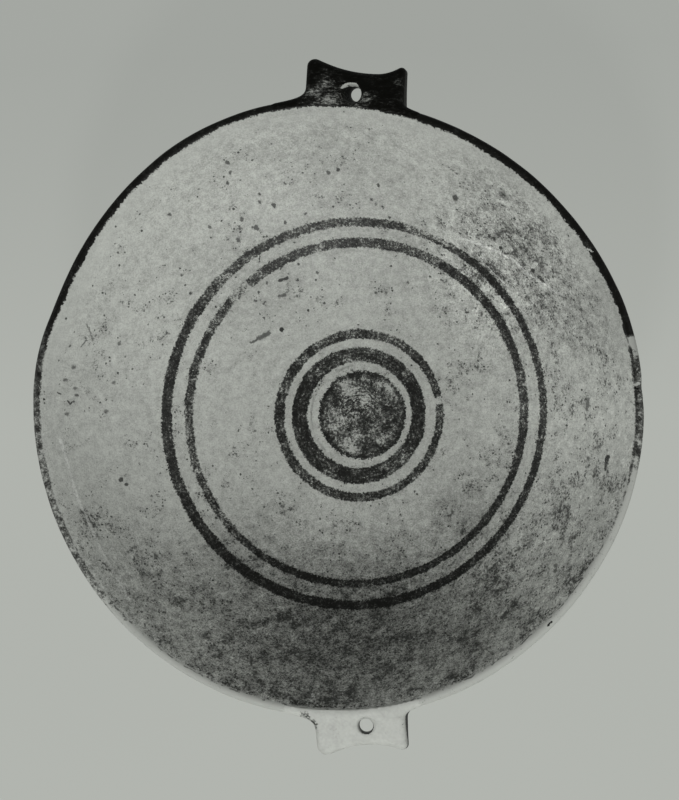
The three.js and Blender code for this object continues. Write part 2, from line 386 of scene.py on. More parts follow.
# From the middle of the floor up the inside, over the lip, down the outside and in to the middle
# of the underside
def wall_outline():
    inside = np.linspace(0.0, BEVEL_FOOT_RADIUS, 900)
    start = np.array([EASE_RADIUS, float(inside_height(EASE_RADIUS))])
    rise = WALL_CURVE_POWER * (start[1] - FLOOR_HEIGHT) / EASE_RADIUS
    lip_rise = BEVEL_DROP / BEVEL_WIDTH
    meet = (start[1] - BEVEL_TOP[1] + lip_rise * BEVEL_TOP[0] - rise * start[0]) / (lip_rise - rise)
    bend = np.array([meet, start[1] + rise * (meet - start[0])])
    lower = inside[inside < EASE_RADIUS - FINE_STEP / 2]
    raw = np.concatenate(
        [
            np.stack([lower, inside_height(lower)], -1),
            bent(start, bend, BEVEL_TOP, 80),
            arc(LIP_MIDDLE, LIP_RADIUS, LIP_START, 0.0, 60),
            outside_point(inside[::-1]),
        ]
    )
    outline = eased(even_steps(raw, FINE_STEP), EASE_LENGTH)
    outline[0, 0] = outline[-1, 0] = 0.0
    return outline


OUTLINE = wall_outline()
OUTLINE_FACING = facings(OUTLINE)
ALONG = lengths_along(OUTLINE)
LIP_ALONG = ALONG[OUTLINE[:, 1].argmax()]
WIDEST_ALONG = ALONG[OUTLINE[:, 0].argmax()]


def along_inside(radius):
    inside = ALONG < LIP_ALONG
    return float(np.interp(radius, OUTLINE[inside, 0], ALONG[inside]))


def along_outside(height):
    outside = (ALONG > WIDEST_ALONG) & (OUTLINE[:, 0] > 50)
    return float(np.interp(-height, -OUTLINE[outside, 1], ALONG[outside]))


def outline_at(stops):
    point = np.stack([np.interp(stops, ALONG, OUTLINE[:, k]) for k in (0, 1)], -1)
    facing = np.stack([np.interp(stops, ALONG, OUTLINE_FACING[:, k]) for k in (0, 1)], -1)
    return point, facing / np.hypot(*facing.T)[:, None]


# Turned pieces: a row of points is swept round the axis. Every piece takes the same wheel marks
# and the same unevenness at the same place on the wall, so that a film follows the body.
def turned_piece_tree():
    tree = bpy.data.node_groups.new("Turned piece", "GeometryNodeTree")
    inputs = (
        ("Geometry", "NodeSocketGeometry", None),
        ("Rows", "NodeSocketInt", 2),
        ("Turns", "NodeSocketInt", 384),
        ("Wheel mark height", "NodeSocketFloat", 0.03),
        ("Wheel mark pitch", "NodeSocketFloat", 5.6),
        ("Unevenness", "NodeSocketFloat", 0.55),
        ("Seed", "NodeSocketFloat", 3.0),
        ("Chip place", "NodeSocketVector", (98.9, 4.6, 57.9)),
        ("Chip reach", "NodeSocketFloat", 3.4),
        ("Chip depth", "NodeSocketFloat", 0.75),
        ("Finish", "NodeSocketMaterial", None),
    )
    for name, kind, preset in inputs:
        socket = tree.interface.new_socket(name, in_out="INPUT", socket_type=kind)
        if preset is not None:
            socket.default_value = preset
    tree.interface.new_socket("Geometry", in_out="OUTPUT", socket_type="NodeSocketGeometry")
    w = Wiring(tree)
    given = w.node("NodeGroupInput").outputs
    columns = w.math("ADD", given["Turns"], 1)
    grid = w.node("GeometryNodeMeshGrid", Vertices_X=columns, Vertices_Y=given["Rows"])
    index = w.node("GeometryNodeInputIndex").outputs[0]
    centred = w.math("ADD", index, 0.5)
    turn = w.math("FLOOR", w.math("DIVIDE", centred, given["Rows"]))
    row = w.math("SUBTRACT", index, w.product(turn, given["Rows"]))

    def read(kind, plug):
        made = w.node("GeometryNodeSampleIndex", {"data_type": kind}, Geometry=given["Geometry"])
        w.plug(made.inputs["Value"], plug)
        w.plug(made.inputs["Index"], row)
        return made.outputs[0]

    def named(kind, name):
        return w.node("GeometryNodeInputNamedAttribute", {"data_type": kind}, Name=name).outputs[0]

    point = w.parts(read("FLOAT_VECTOR", w.node("GeometryNodeInputPosition").outputs[0]))
    facing = w.parts(read("FLOAT_VECTOR", named("FLOAT_VECTOR", "facing")))
    along = read("FLOAT", named("FLOAT", "along"))
    lift = read("FLOAT", named("FLOAT", "lift"))
    freedom = read("FLOAT", named("FLOAT", "freedom"))
    angle = w.product(w.math("DIVIDE", turn, given["Turns"]), math.tau)
    cosine = w.math("COSINE", angle)
    sine = w.math("SINE", angle)

    def swept(parts):
        return w.joined(w.product(parts[0], cosine), w.product(parts[0], sine), parts[2])

    base = swept(point)
    outward = swept(facing)
    place = w.vector("SCALE", base, scale=1.0 / METRE)
    place = w.vector("ADD", place, w.vector("SCALE", SEED_SHIFT, scale=given["Seed"]))
    strength = w.spread(w.noise(place, 26.0, 1), 0.3, 0.7, 0.2, 1.4)
    phase = w.math("DIVIDE", along, given["Wheel mark pitch"])
    phase = w.math("ADD", w.product(phase, math.tau), angle)
    marks = w.product(w.math("SINE", phase), given["Wheel mark height"], strength)
    rough = w.total(w.swing(place, 70.0, 0, 2.0, 1.0), w.swing(place, 11.0, 2, 0.45, 2.0))
    uneven = w.product(rough, given["Unevenness"])

    # Beside the lugs the rim stays as it was turned, so that they sit close on it
    level = w.vector("MULTIPLY", base, (1.0, 1.0, 0.0))
    near_rim = w.step(w.vector("LENGTH", level), 84.0 * METRE, 93.0 * METRE)
    by_lug = w.product(near_rim, w.step(w.math("ABSOLUTE", sine), 0.90, 0.955))
    still = w.math("SUBTRACT", 1.0, by_lug)

    # One chip in the rim
    chip_place = w.vector("SCALE", given["Chip place"], scale=METRE)
    chip_away = w.product(w.vector("DISTANCE", base, chip_place), 1.0 / METRE)
    chip = w.step(chip_away, given["Chip reach"], 0.0)
    chipped = w.product(chip, given["Chip depth"])
    field = w.math("SUBTRACT", w.product(w.total(marks, uneven), still, freedom), chipped)
    field = w.product(w.math("ADD", field, lift), METRE)

    # The grid's points are moved into place, and its seam and poles closed
    moved = w.vector("ADD", base, w.vector("SCALE", outward, scale=field))
    shaped = w.node("GeometryNodeSetPosition", Geometry=grid.outputs["Mesh"], Position=moved)
    merged = w.node("GeometryNodeMergeByDistance", Geometry=shaped.outputs[0], Distance=4e-6)
    flipped = w.node("GeometryNodeFlipFaces", Mesh=merged.outputs[0])
    smooth = w.node("GeometryNodeSetShadeSmooth", Geometry=flipped.outputs[0])
    whole = w.node("GeometryNodeRealizeInstances", Geometry=smooth.outputs[0])
    whole = whole.outputs[0]
    finished = w.node("GeometryNodeSetMaterial", Geometry=whole, Material=given["Finish"])
    w.node("NodeGroupOutput", Geometry=finished.outputs[0])
    return tree


TURNED_PIECE = turned_piece_tree()
PROFILE_VALUES = ("along", "lift", "freedom")


# A piece from rows of (radius, height), the way that each faces, its place along the wall, its
# lift off the wall, and how freely the wheel marks move it
def turned_piece(name, rows, finish, turns=384):
    point, facing, along, lift, freedom = rows
    count = len(point)
    flat = np.zeros((count, 3))
    flat[:, 0], flat[:, 2] = point[:, 0] * METRE, point[:, 1] * METRE
    mesh = bpy.data.meshes.new(name + " profile")
    mesh.from_pydata(flat.tolist(), [(i, i + 1) for i in range(count - 1)], [])
    ways = np.zeros((count, 3))
    ways[:, 0], ways[:, 2] = facing[:, 0], facing[:, 1]
    mesh.attributes.new("facing", "FLOAT_VECTOR", "POINT").data.foreach_set("vector", ways.ravel())
    for key, values in zip(PROFILE_VALUES, (along, lift, freedom)):
        values = np.ascontiguousarray(np.broadcast_to(values, count), float)
        mesh.attributes.new(key, "FLOAT", "POINT").data.foreach_set("value", values)
    profile = placed(name + " profile", mesh)
    modifier = profile.modifiers.new("Turned", "NODES")
    modifier.node_group = TURNED_PIECE
    chosen = {"Rows": count, "Turns": turns, "Finish": finish}
    for item in TURNED_PIECE.interface.items_tree:
        if item.name in chosen and item.in_out == "INPUT":
            modifier[item.identifier] = chosen[item.name]
    return taken_off(profile, name)


# The evaluated shape of an object as a plain mesh object, which replaces it
def taken_off(source, name):
    graph = bpy.context.evaluated_depsgraph_get()
    mesh = bpy.data.meshes.new_from_object(source.evaluated_get(graph))
    mesh.name = name
    for key in ("facing", *PROFILE_VALUES):
        if key in mesh.attributes:
            mesh.attributes.remove(mesh.attributes[key])
    profile = source.data
    bpy.data.objects.remove(source)
    bpy.data.meshes.remove(profile)
    return placed(name, mesh)


# Spacing of the body's rows of points, finest from a little before the lip to a little past it.
# The underside by the foot is less free to move, so that the foot meets it.
INSIDE_STEP = 0.86
LIP_STEP = 0.42
OUTSIDE_STEP = 1.35
BEFORE_LIP = 9.0
PAST_WIDEST = 4.0
UNDERSIDE_FREEDOM = 0.25


def body_rows():
    lip_start = LIP_ALONG - BEFORE_LIP
    lip_end = WIDEST_ALONG + PAST_WIDEST
    stops = np.r_[
        np.arange(0.0, lip_start, INSIDE_STEP),
        np.arange(lip_start, lip_end, LIP_STEP),
        np.arange(lip_end, ALONG[-1], OUTSIDE_STEP),
        ALONG[-1],
    ]
    point, facing = outline_at(stops)
    point[0, 0] = point[-1, 0] = 0.0
    underside = (stops > lip_end) & (point[:, 0] < FOOT_RADIUS + 12)
    freedom = np.where(underside, UNDERSIDE_FREEDOM, 1.0)
    facing[0] = (0.0, 1.0)
    facing[-1] = (0.0, -1.0)
    return point, facing, stops, 0.0, freedom


# A thin film that hugs the wall between two places along it
FILM_LIFT = 0.03
FILM_DEPTH = 0.14
FILM_STEP = 0.45
FILM_MARGIN = 1.3  # how far a film reaches past its paint
DISC_FILM_RADIUS = 15.8
RIM_FILM_RADIUS = 95.4  # where the rim's film begins inside
RIM_FILM_PAST = 1.4  # how far it reaches past the paint outside


def film_rows(start, end, step=FILM_STEP):
    stops = np.linspace(start, end, max(int((end - start) / step), 6) + 1)
    point, facing = outline_at(stops)
    if start == 0.0:
        facing[0] = (0.0, 1.0)
    both = [np.concatenate([part, part[::-1]]) for part in (point, facing, stops)]
    lift = np.r_[np.full(len(stops), FILM_LIFT), np.full(len(stops), -FILM_DEPTH)]
    rows = [*both, lift, np.ones(2 * len(stops))]
    if start > 0.0:
        rows = [np.concatenate([part, part[:1]]) for part in rows]
    return rows


# The ring foot: its top is sunk a little into the underside of the body
FOOT_SINK = 0.5
FOOT_EASE_LENGTH = 0.5
FOOT_ROWS_KEPT = 4  # one row of points in so many


def foot_rows():
    def outside_height(radius):
        outside = ALONG > WIDEST_ALONG
        return float(np.interp(-radius, -OUTLINE[outside, 0], OUTLINE[outside, 1]))

    inner = FOOT_RADIUS - FOOT_WIDTH
    outer_top = FOOT_RADIUS + FOOT_FLARE_OUTSIDE
    inner_top = inner - FOOT_FLARE_INSIDE
    corners = [
        (outer_top, outside_height(outer_top) + FOOT_SINK),
        (outer_top - 0.3, outside_height(outer_top) - 0.2),
        (FOOT_RADIUS + 0.75, 3.4),
        (FOOT_RADIUS, FOOT_EDGE_ROUND),
        (FOOT_RADIUS - 0.35, 0.35),
        (FOOT_RADIUS - FOOT_EDGE_ROUND, 0.0),
        (inner + FOOT_EDGE_ROUND, 0.0),
        (inner + 0.35, 0.35),
        (inner, FOOT_EDGE_ROUND),
        (inner - 0.5, 3.2),
        (inner_top + 0.2, outside_height(inner_top) - 0.2),
        (inner_top, outside_height(inner_top) + FOOT_SINK),
    ]
    run = eased(even_steps(np.array(corners), FINE_STEP), FOOT_EASE_LENGTH)
    run = run[np.unique(np.r_[0 : len(run) : FOOT_ROWS_KEPT, len(run) - 1])]
    run[:, 1] = np.maximum(run[:, 1], 0.0)
    facing = facings(run)
    rows = [run, facing, *np.zeros((3, len(run)))]
    return [np.concatenate([part, part[:1]]) for part in rows]


# Marks on the slip: from and to as radius and degrees, half width, strength and softness. A
# negative strength makes a pale mark.
WALL_MARKS = (
    (68.1, 57.6, 70.5, 50.4, 0.34, -0.70, 0.28), (70.5, 50.4, 72.6, 45.4, 0.34, -0.70, 0.28),
    (72.6, 45.4, 74.3, 41.1, 0.34, -0.70, 0.28), (74.3, 41.1, 75.3, 36.1, 0.34, -0.70, 0.28),
    (75.3, 36.1, 77.5, 31.7, 0.34, -0.70, 0.28), (77.5, 31.7, 79.6, 28.6, 0.34, -0.70, 0.28),
    (79.6, 28.6, 81.8, 26.0, 0.34, -0.70, 0.28), (66.1, 46.3, 66.5, 38.0, 0.17, -0.60, 0.20),
    (80.7, 33.3, 80.8, 33.0, 0.84, -0.48, 0.72), (70.6, 55.8, 70.8, 55.7, 0.47, 0.85, 0.32),
    (72.1, 53.3, 73.0, 52.3, 0.29, 0.80, 0.32), (71.7, 53.2, 71.5, 52.2, 0.29, 0.80, 0.32),
    (74.7, 50.2, 74.8, 50.0, 0.58, 0.88, 0.32), (74.9, 48.9, 74.9, 48.7, 0.63, 0.90, 0.32),
    (74.0, 46.0, 74.1, 45.8, 0.63, 0.97, 0.24), (73.8, 44.2, 74.6, 43.3, 0.36, 0.88, 0.32),
    (76.1, 41.2, 76.2, 41.1, 0.42, 0.85, 0.32), (76.1, 38.6, 76.2, 38.4, 0.42, 0.85, 0.32),
    (77.2, 36.0, 77.3, 35.6, 0.65, 0.95, 0.32), (77.7, 33.8, 78.1, 31.8, 0.44, 0.93, 0.32),
    (79.1, 29.4, 79.2, 29.3, 0.53, 0.88, 0.32), (80.5, 27.4, 81.8, 26.0, 0.25, 0.85, 0.32),
    (81.5, 35.5, 82.8, 34.1, 0.27, 0.78, 0.32), (83.3, 32.5, 82.9, 31.9, 0.42, 0.88, 0.32),
    (81.9, 31.4, 82.0, 31.2, 0.42, 0.85, 0.32), (84.0, 37.4, 84.6, 36.9, 0.25, 0.80, 0.32),
    (79.4, 62.1, 79.4, 61.7, 0.84, 0.88, 0.72), (85.0, 46.8, 85.0, 46.6, 0.37, 0.93, 0.32),
    (70.9, 26.7, 71.0, 26.6, 0.47, 0.95, 0.32), (66.0, 78.9, 65.9, 78.7, 0.42, 0.88, 0.32),
    (75.5, 82.1, 75.4, 81.9, 0.42, 0.90, 0.32), (71.0, 84.1, 70.9, 83.9, 0.40, 0.88, 0.32),
    (47.2, 68.6, 47.2, 68.3, 0.44, 0.78, 0.48), (51.8, 61.1, 51.8, 60.8, 0.36, 0.88, 0.32),
    (41.3, 81.9, 41.2, 81.6, 0.38, 0.80, 0.32), (52.3, 120.0, 51.7, 117.4, 0.58, 0.97, 0.32),
    (55.3, 117.6, 55.6, 116.7, 0.25, 0.93, 0.20), (61.8, 120.9, 60.5, 122.3, 0.21, 0.95, 0.16),
    (48.0, 123.4, 47.4, 121.4, 0.53, 0.78, 0.48), (54.2, 111.2, 54.1, 111.0, 0.40, 0.90, 0.32),
    (49.7, 105.8, 49.5, 105.6, 0.40, 0.80, 0.32), (39.5, 107.2, 39.4, 107.0, 0.40, 0.85, 0.32),
    (53.1, 128.9, 52.9, 128.8, 0.40, 0.90, 0.32), (53.8, 124.4, 53.7, 124.3, 0.40, 0.80, 0.32),
    (49.9, 114.2, 49.7, 114.0, 0.40, 0.85, 0.32), (49.5, 130.1, 49.3, 130.1, 0.40, 0.80, 0.32),
    (45.9, 134.2, 45.7, 134.1, 0.40, 0.85, 0.32), (52.1, 131.8, 51.2, 131.4, 0.27, 0.85, 0.32),
    (73.2, 110.2, 73.2, 110.1, 0.65, 0.90, 0.40), (69.7, 117.3, 69.5, 117.2, 0.79, 0.85, 0.40),
    (69.3, 123.3, 69.1, 123.3, 0.65, 0.82, 0.40), (73.7, 119.2, 73.6, 119.2, 0.65, 0.82, 0.40),
    (75.6, 113.1, 75.4, 113.0, 0.44, 0.82, 0.40), (86.4, 131.6, 86.3, 131.5, 0.47, 0.80, 0.40),
    (68.2, 143.4, 68.0, 143.3, 0.44, 0.93, 0.40), (76.9, 126.9, 76.7, 126.8, 0.53, 0.75, 0.40),
    (73.3, 140.8, 73.1, 140.8, 0.42, 0.80, 0.40), (77.6, 112.1, 77.4, 112.0, 0.36, 0.90, 0.40),
    (88.5, 114.7, 88.3, 114.6, 0.53, 0.82, 0.40), (83.9, 117.1, 83.8, 117.0, 0.53, 0.85, 0.40),
    (86.0, 115.3, 85.8, 115.3, 0.47, 0.80, 0.40), (79.5, 91.8, 79.4, 91.6, 0.53, 0.90, 0.40),
    (78.8, 94.3, 78.7, 94.2, 0.63, 0.80, 0.40), (67.5, 109.4, 67.3, 109.3, 0.44, 0.88, 0.40),
    (68.1, 103.1, 68.0, 103.0, 0.42, 0.85, 0.40), (39.5, 131.9, 39.1, 132.3, 0.58, 0.99, 0.24),
    (44.2, 146.0, 42.8, 142.5, 0.37, 0.80, 0.40), (42.8, 142.5, 41.5, 137.7, 0.73, 0.80, 0.64),
    (88.3, -11.0, 88.2, -12.1, 0.79, 0.97, 0.40), (88.2, -12.1, 88.4, -13.5, 0.53, 0.93, 0.48),
    (92.9, 176.3, 92.0, 176.6, 0.27, 0.97, 0.20), (88.2, 176.5, 88.0, 176.5, 0.53, 0.80, 0.40),
    (90.1, 177.8, 89.6, 178.4, 0.25, 0.93, 0.20), (89.6, 178.4, 88.7, 177.8, 0.25, 0.93, 0.20),
    (89.7, 170.7, 89.5, 170.7, 0.53, 0.72, 0.64), (91.1, 173.6, 91.0, 173.6, 0.53, 0.72, 0.64),
    (88.6, 175.0, 88.4, 175.1, 0.53, 0.72, 0.64), (90.5, -179.5, 90.4, -179.4, 0.53, 0.72, 0.64),
    (80.1, 163.1, 79.9, 163.1, 0.53, 0.72, 0.64), (79.0, 172.6, 78.8, 172.6, 0.53, 0.72, 0.64),
    (80.6, 179.5, 80.5, 179.6, 0.53, 0.72, 0.64), (89.6, 161.2, 88.2, 162.6, 0.21, 0.70, 0.32),
    (88.2, 162.6, 86.7, 164.1, 0.21, 0.68, 0.32), (89.0, 166.2, 88.1, 164.4, 0.19, 0.75, 0.24),
    (79.2, -163.8, 79.3, -163.5, 0.58, 0.90, 0.32), (78.2, -162.5, 78.3, -162.2, 0.47, 0.88, 0.32),
    (85.8, -52.0, 85.4, -50.6, 0.84, 0.89, 0.48), (84.5, -63.0, 85.1, -61.0, 0.79, 0.72, 0.56),
    (87.7, -37.0, 86.6, -36.2, 0.79, 0.72, 0.56), (80.2, 1.6, 79.7, -0.6, 0.65, 0.72, 0.64),
    (93.3, -94.3, 93.3, -94.6, 0.47, -0.96, 0.20), (92.5, -174.0, 91.7, -162.0, 0.40, -0.54, 0.24),
    (91.7, -162.0, 91.7, -150.0, 0.36, -0.50, 0.24),
    (91.7, -150.0, 93.4, -137.5, 0.32, -0.44, 0.24),
)

RIM_MARKS = (
    (97.6, 3.0, 99.0, 3.2, 0.34, -0.90, 0.3),
    (97.2, 2.4, 99.6, 2.3, 0.24, 0.97, 0.2),
    (98.6, -45.4, 98.8, -44.6, 0.30, 0.75, 0.2),
    (97.6, 30.4, 98.4, 29.6, 0.30, -0.80, 0.3),
)
SHORTEST_LINE = 0.9  # a shorter mark is a round spot
MARK_SEED = 11
MARK_WANDER = 1.7
MARK_FLATTENING = Vector((1.0, 1.0, 0.3))


def on_wall(radius, degrees):
    angle = math.radians(degrees)
    height = float(np.interp(radius, *OUTLINE[ALONG < LIP_ALONG].T))
    return Vector((radius * math.cos(angle), radius * math.sin(angle), height))


# How dark and how pale a table of marks makes each place. The place wanders a little, so that the
# marks come out ragged, and heights count for less, so that a mark holds on an uneven wall.
def marked(w, place, table):
    moved = w.vector("ADD", place, seeded(MARK_SEED))
    noise = w.node("ShaderNodeTexNoise", Vector=moved, Scale=0.95, Detail=3.0, Roughness=0.68)
    wander = w.vector("SUBTRACT", noise.outputs["Color"], (0.5, 0.5, 0.5))
    place = w.vector("ADD", place, w.vector("SCALE", wander, scale=MARK_WANDER))
    place = w.vector("MULTIPLY", place, tuple(MARK_FLATTENING))
    found = {True: 0.0, False: 0.0}
    for from_radius, from_degrees, to_radius, to_degrees, width, strength, softness in table:
        start = on_wall(from_radius, from_degrees) * MARK_FLATTENING
        run = on_wall(to_radius, to_degrees) * MARK_FLATTENING - start
        if run.length < SHORTEST_LINE:
            away = w.vector("DISTANCE", place, tuple(start + run / 2))
            width += run.length / 3
        else:
            offset = w.vector("SUBTRACT", place, tuple(start))
            share = w.vector("DOT_PRODUCT", offset, tuple(run / run.length_squared))
            share = w.math("MINIMUM", w.math("MAXIMUM", share, 0.0), 1.0)
            away = w.vector("DISTANCE", offset, w.vector("SCALE", tuple(run), scale=share))
        mark = w.step(away, width + softness * 0.5, width - softness * 0.5, 0.0, abs(strength))
        found[strength > 0] = w.math("MAXIMUM", found[strength > 0], mark)
    return found[True], found[False]


# Wide patches of painted light and shade in the slip's tone, paler or darker: painted shade over
# the near wall and painted light on the lower sides. x and y, reach and amount
PAINTED_LIGHT_AND_SHADE = (
    (0.0, -72.0, 44.0, -0.62), (-84.0, 4.0, 46.0, -0.01), (84.0, -8.0, 44.0, 0.28),
    (0.0, 84.0, 66.0, -0.15), (58.0, 46.0, 34.0, -0.06), (-62.0, -60.0, 40.0, -0.06),
    (66.0, -54.0, 36.0, 0.34), (4.0, -94.0, 20.0, 0.05), (38.0, -38.0, 26.0, -0.26),
    (-34.0, -50.0, 30.0, -0.26), (-38.0, 44.0, 30.0, -0.18), (88.0, 30.0, 34.0, -0.20),
    (38.0, -75.0, 22.0, -0.26), (-32.0, -75.0, 20.0, -0.18), (46.0, 38.0, 18.0, 0.24),
    (6.0, -66.0, 16.0, 0.20), (50.0, 68.0, 24.0, -0.16),
)


# A place that follows the wall outwards fast and round the bowl slowly, for fine turned lines
def unrolled(w, outwards, way, share):
    axes = ((1.0, 0.0, 0.0), (0.0, 1.0, 0.0))
    sides = [w.product(w.vector("DOT_PRODUCT", way, axis), share) for axis in axes]
    return w.joined(outwards, *sides)


def slip_ground_group():
    tree = bpy.data.node_groups.new("Slip ground", "ShaderNodeTree")
    for name, kind in (("Colour", "Color"), ("Roughness", "Float"), ("Height", "Float")):
        tree.interface.new_socket(name, in_out="OUTPUT", socket_type="NodeSocket" + kind)
    w = Wiring(tree)
    place = w.trued()
    level = w.vector("MULTIPLY", place, (1.0, 1.0, 0.0))
    radius, way = w.polar(place)
    _, y, z = w.parts(place)

    # How coarse the surface is, and how thick the dark specks lie: most towards the lower right
    # and up the wall, and least in the calm strip inside the lip and on the crown of the rim
    side = w.step(w.vector("DOT_PRODUCT", way, (0.80, -0.60, 0.0)), -0.35, 0.45)
    lower = w.step(y, -4.0, -58.0)
    upward = w.spread(radius, 20.0, 80.0, 0.0, 1.0)
    calm = w.product(w.step(radius, 91.0, 95.0), w.step(y, -6.0, 26.0))
    upper_right = w.step(w.vector("DISTANCE", level, (50.0, 50.0, 0.0)), 38.0, 8.0)
    crown = w.step(radius, 96.8, 97.5)
    coarse = w.total(
        1.0, w.step(y, -20.0, -75.0, 0.0, 1.15), w.product(side, upward, 0.85), upper_right,
        w.step(y, 20.0, 80.0, 0.0, 0.2),
    )
    coarse = w.product(coarse, w.mixed(calm, 1.0, 0.55), w.mixed(crown, 1.0, 0.22))
    thick = w.total(
        w.product(side, upward, 0.085), w.product(lower, upward, 0.115),
        w.product(upper_right, 0.13), w.product(calm, -0.20), w.product(crown, -0.30),
    )

    # Tone of the slip without its specks, with the patches of painted light and shade laid over it
    grain = w.math("SUBTRACT", w.noise(place, 3.2, 1, 4.0, 0.95), 0.5)
    outwards = w.total(radius, w.product(z, 0.8), w.swing(place, 18.0, 1, 2.4))
    lines = w.swing(unrolled(w, outwards, way, 2.0), 0.9, 1, 0.12, 3.0, 0.6)
    gritty = w.swing(place, 0.5, 1, 1.0, 1.0)
    rough = w.total(w.product(grain, 1.30), w.product(gritty, w.mixed(lower, 0.62, 0.78)))
    tone = w.total(1.0, w.swing(place, 36.0, 1, 0.20, 2.0), w.product(rough, coarse), lines)
    # Painted light and shade: the slip is made paler or darker in wide patches
    for shade_x, shade_y, reach, amount in PAINTED_LIGHT_AND_SHADE:
        away = w.vector("DISTANCE", level, (shade_x, shade_y, 0.0))
        tone = w.math("ADD", tone, w.step(away, reach, 0.0, 0.0, amount))
    tone = w.mixed(crown, w.math("MAXIMUM", tone, 0.08), 0.90)

    # Small specks in bunches, with soft smudges round them
    fine = w.swing(place, 0.95, 1, 1.0, 2.0, 0.62)
    bunch = w.total(w.swing(place, 3.4, 1, 0.62, 1.0), w.swing(place, 12.0, 1, 0.60, 1.0), thick)
    field = w.total(fine, bunch)
    speck = w.total(w.step(field, 0.24, 0.33, 0.0, 0.45), w.step(field, 0.33, 0.42, 0.0, 0.38))
    smudge = w.step(field, 0.12, 0.36, 0.0, 0.18)
    grit = w.step(w.total(gritty, w.product(bunch, 0.55)), 0.17, 0.30, 0.0, 0.60)

    # Black dots in bunches, and a few larger pits
    apart, chance, luck = w.scatter(place, 1.0, 4)
    reach = w.spread(luck, 0.0, 1.0, 0.05, 0.36)
    dot = w.step(w.math("SUBTRACT", w.total(apart, w.product(fine, 1.5)), reach), 0.10, -0.08)
    dot = w.product(dot, w.math("LESS_THAN", chance, w.spread(bunch, 0.02, 0.28, 0.01, 0.90)))
    dot = w.product(dot, w.spread(luck, 0.0, 1.0, 0.55, 0.95))
    apart, chance, luck = w.scatter(place, 5.2, 3)
    reach = w.spread(luck, 0.0, 1.0, 0.10, 0.50)
    pit = w.step(w.math("SUBTRACT", w.total(apart, w.product(fine, 1.6)), reach), 0.14, -0.14)
    pit = w.product(pit, w.math("LESS_THAN", chance, w.total(0.07, w.product(thick, 0.7))), 0.85)
    pit = w.math("MAXIMUM", pit, dot)

    # Pale flecks and hair-thin scratches where the slip is dark and gritty
    rough_part = w.step(thick, 0.04, 0.15)
    fleck = w.product(w.step(w.noise(place, 0.8, 1, 3.0, 0.7), 0.585, 0.68, 0.0, 0.42), rough_part)
    hair = w.math("ABSOLUTE", w.swing(place, 4.2, 1, 1.0, 2.0, 0.5, 1.6))
    hair = w.step(hair, 0.013, 0.003, 0.0, 0.42)
    here = w.step(w.noise(place, 8.0, 1), 0.49, 0.58)
    hair = w.product(hair, here, w.math("ADD", rough_part, 0.20))

    dark_marks, pale_marks = marked(w, place, WALL_MARKS)
    colour = w.vector("SCALE", SLIP, scale=tone)
    colour = w.darkened(colour, smudge)
    colour = w.darkened(colour, grit)
    dark = w.math("MAXIMUM", w.math("MAXIMUM", speck, pit), dark_marks)
    colour = w.tint(dark, colour, SPECK_DARK)
    pale = w.math("MAXIMUM", w.math("MAXIMUM", fleck, hair), pale_marks)
    rubbed = w.vector("SCALE", SLIP_RUBBED, scale=w.math("MAXIMUM", tone, 0.5))
    colour = w.tint(pale, colour, rubbed)
    roughness = w.total(0.62, w.product(grain, 0.4), w.product(dark, -0.12))
    height = w.total(w.product(grain, 0.16), w.product(lines, 0.25))
    w.node("NodeGroupOutput", Colour=colour, Roughness=roughness, Height=height)
    return tree


SLIP_GROUND = slip_ground_group()


# The wiring of a material or a world with nothing in it yet
def emptied(holder):
    holder.use_nodes = True
    holder.node_tree.nodes.clear()
    return Wiring(holder.node_tree)


# A finish to fill in: its wiring, the trued place in millimetres, and the slip below
def new_finish(name):
    material = bpy.data.materials.new(name)
    w = emptied(material)
    ground = w.node("ShaderNodeGroup", {"node_tree": SLIP_GROUND}).outputs
    return material, w, w.trued(), ground


# Ends a finish: colour, roughness and a height in millimetres, with the gloss set on the shader
def end_finish(w, colour, roughness, height, gloss=0.3):
    bump = w.node("ShaderNodeBump", Strength=1.0, Distance=METRE, Height=height)
    shader = w.node(
        "ShaderNodeBsdfPrincipled",
        Base_Color=colour,
        Roughness=roughness,
        Specular_IOR_Level=gloss,
        Normal=bump.outputs[0],
    )
    w.node("ShaderNodeOutputMaterial", Surface=shader.outputs[0])


# Wear by the angle round the bowl
def wear_round(w, way, rows):
    return value_by_angle(w, way, rows, WEAR_RANGE, "VECTOR")[0]


# How strongly a place lies within round patches given as (x, y, reach, amount)
def patches(w, place, table):
    level = w.vector("MULTIPLY", place, (1.0, 1.0, 0.0))
    result = 0.0
    for x, y, reach, amount in table:
        away = w.vector("DISTANCE", level, (x, y, 0.0))
        result = w.math("ADD", result, w.step(away, reach * 1.3, reach * 0.4, 0.0, amount))
    return result


# How much brushed paint a place holds: 1 is a full coat, and the slip is bare below -1. Wear takes
# paint off, and a little more of it near the painted edge, the given depth in millimetres away.
def coat(w, place, depth, wear, seed, flecks=8.6, cloudy=3.6, nicked=-1.5):
    fleck = w.swing(place, 0.85, seed, flecks, 4.0, 0.82)
    cloud = w.swing(place, 3.0, seed, cloudy, 2.0)
    nick = w.step(w.noise(place, 0.62, seed, 2.0, 0.6), 0.615, 0.70, 0.0, nicked)
    by_edge = w.step(depth, 0.45, 0.0, 0.0, 0.35)
    return w.math("SUBTRACT", w.total(1.12, fleck, cloud, nick), w.total(wear, by_edge))


# The crisp but slightly ragged edge that the brush leaves
def brush_edge(w, place, depth, seed, ragged=1.9):
    return w.step(w.total(depth, w.swing(place, 0.8, seed, ragged, 2.0, 0.62)), -0.12, 0.24)


def band_depth(w, place, inner, outer, seed):
    radius, way = w.polar(place, outer[1])
    depth = w.math("SUBTRACT", outer[0], w.total(radius, w.swing(place, 7.0, seed, 1.0, 2.0)))
    if inner:
        near, _ = w.polar(place, inner[1])
        wave = w.swing(place, 6.0, seed, 0.8, 2.0)
        depth = w.math("MINIMUM", depth, w.math("SUBTRACT", w.total(near, wave), inner[0]))
    return depth, radius, way


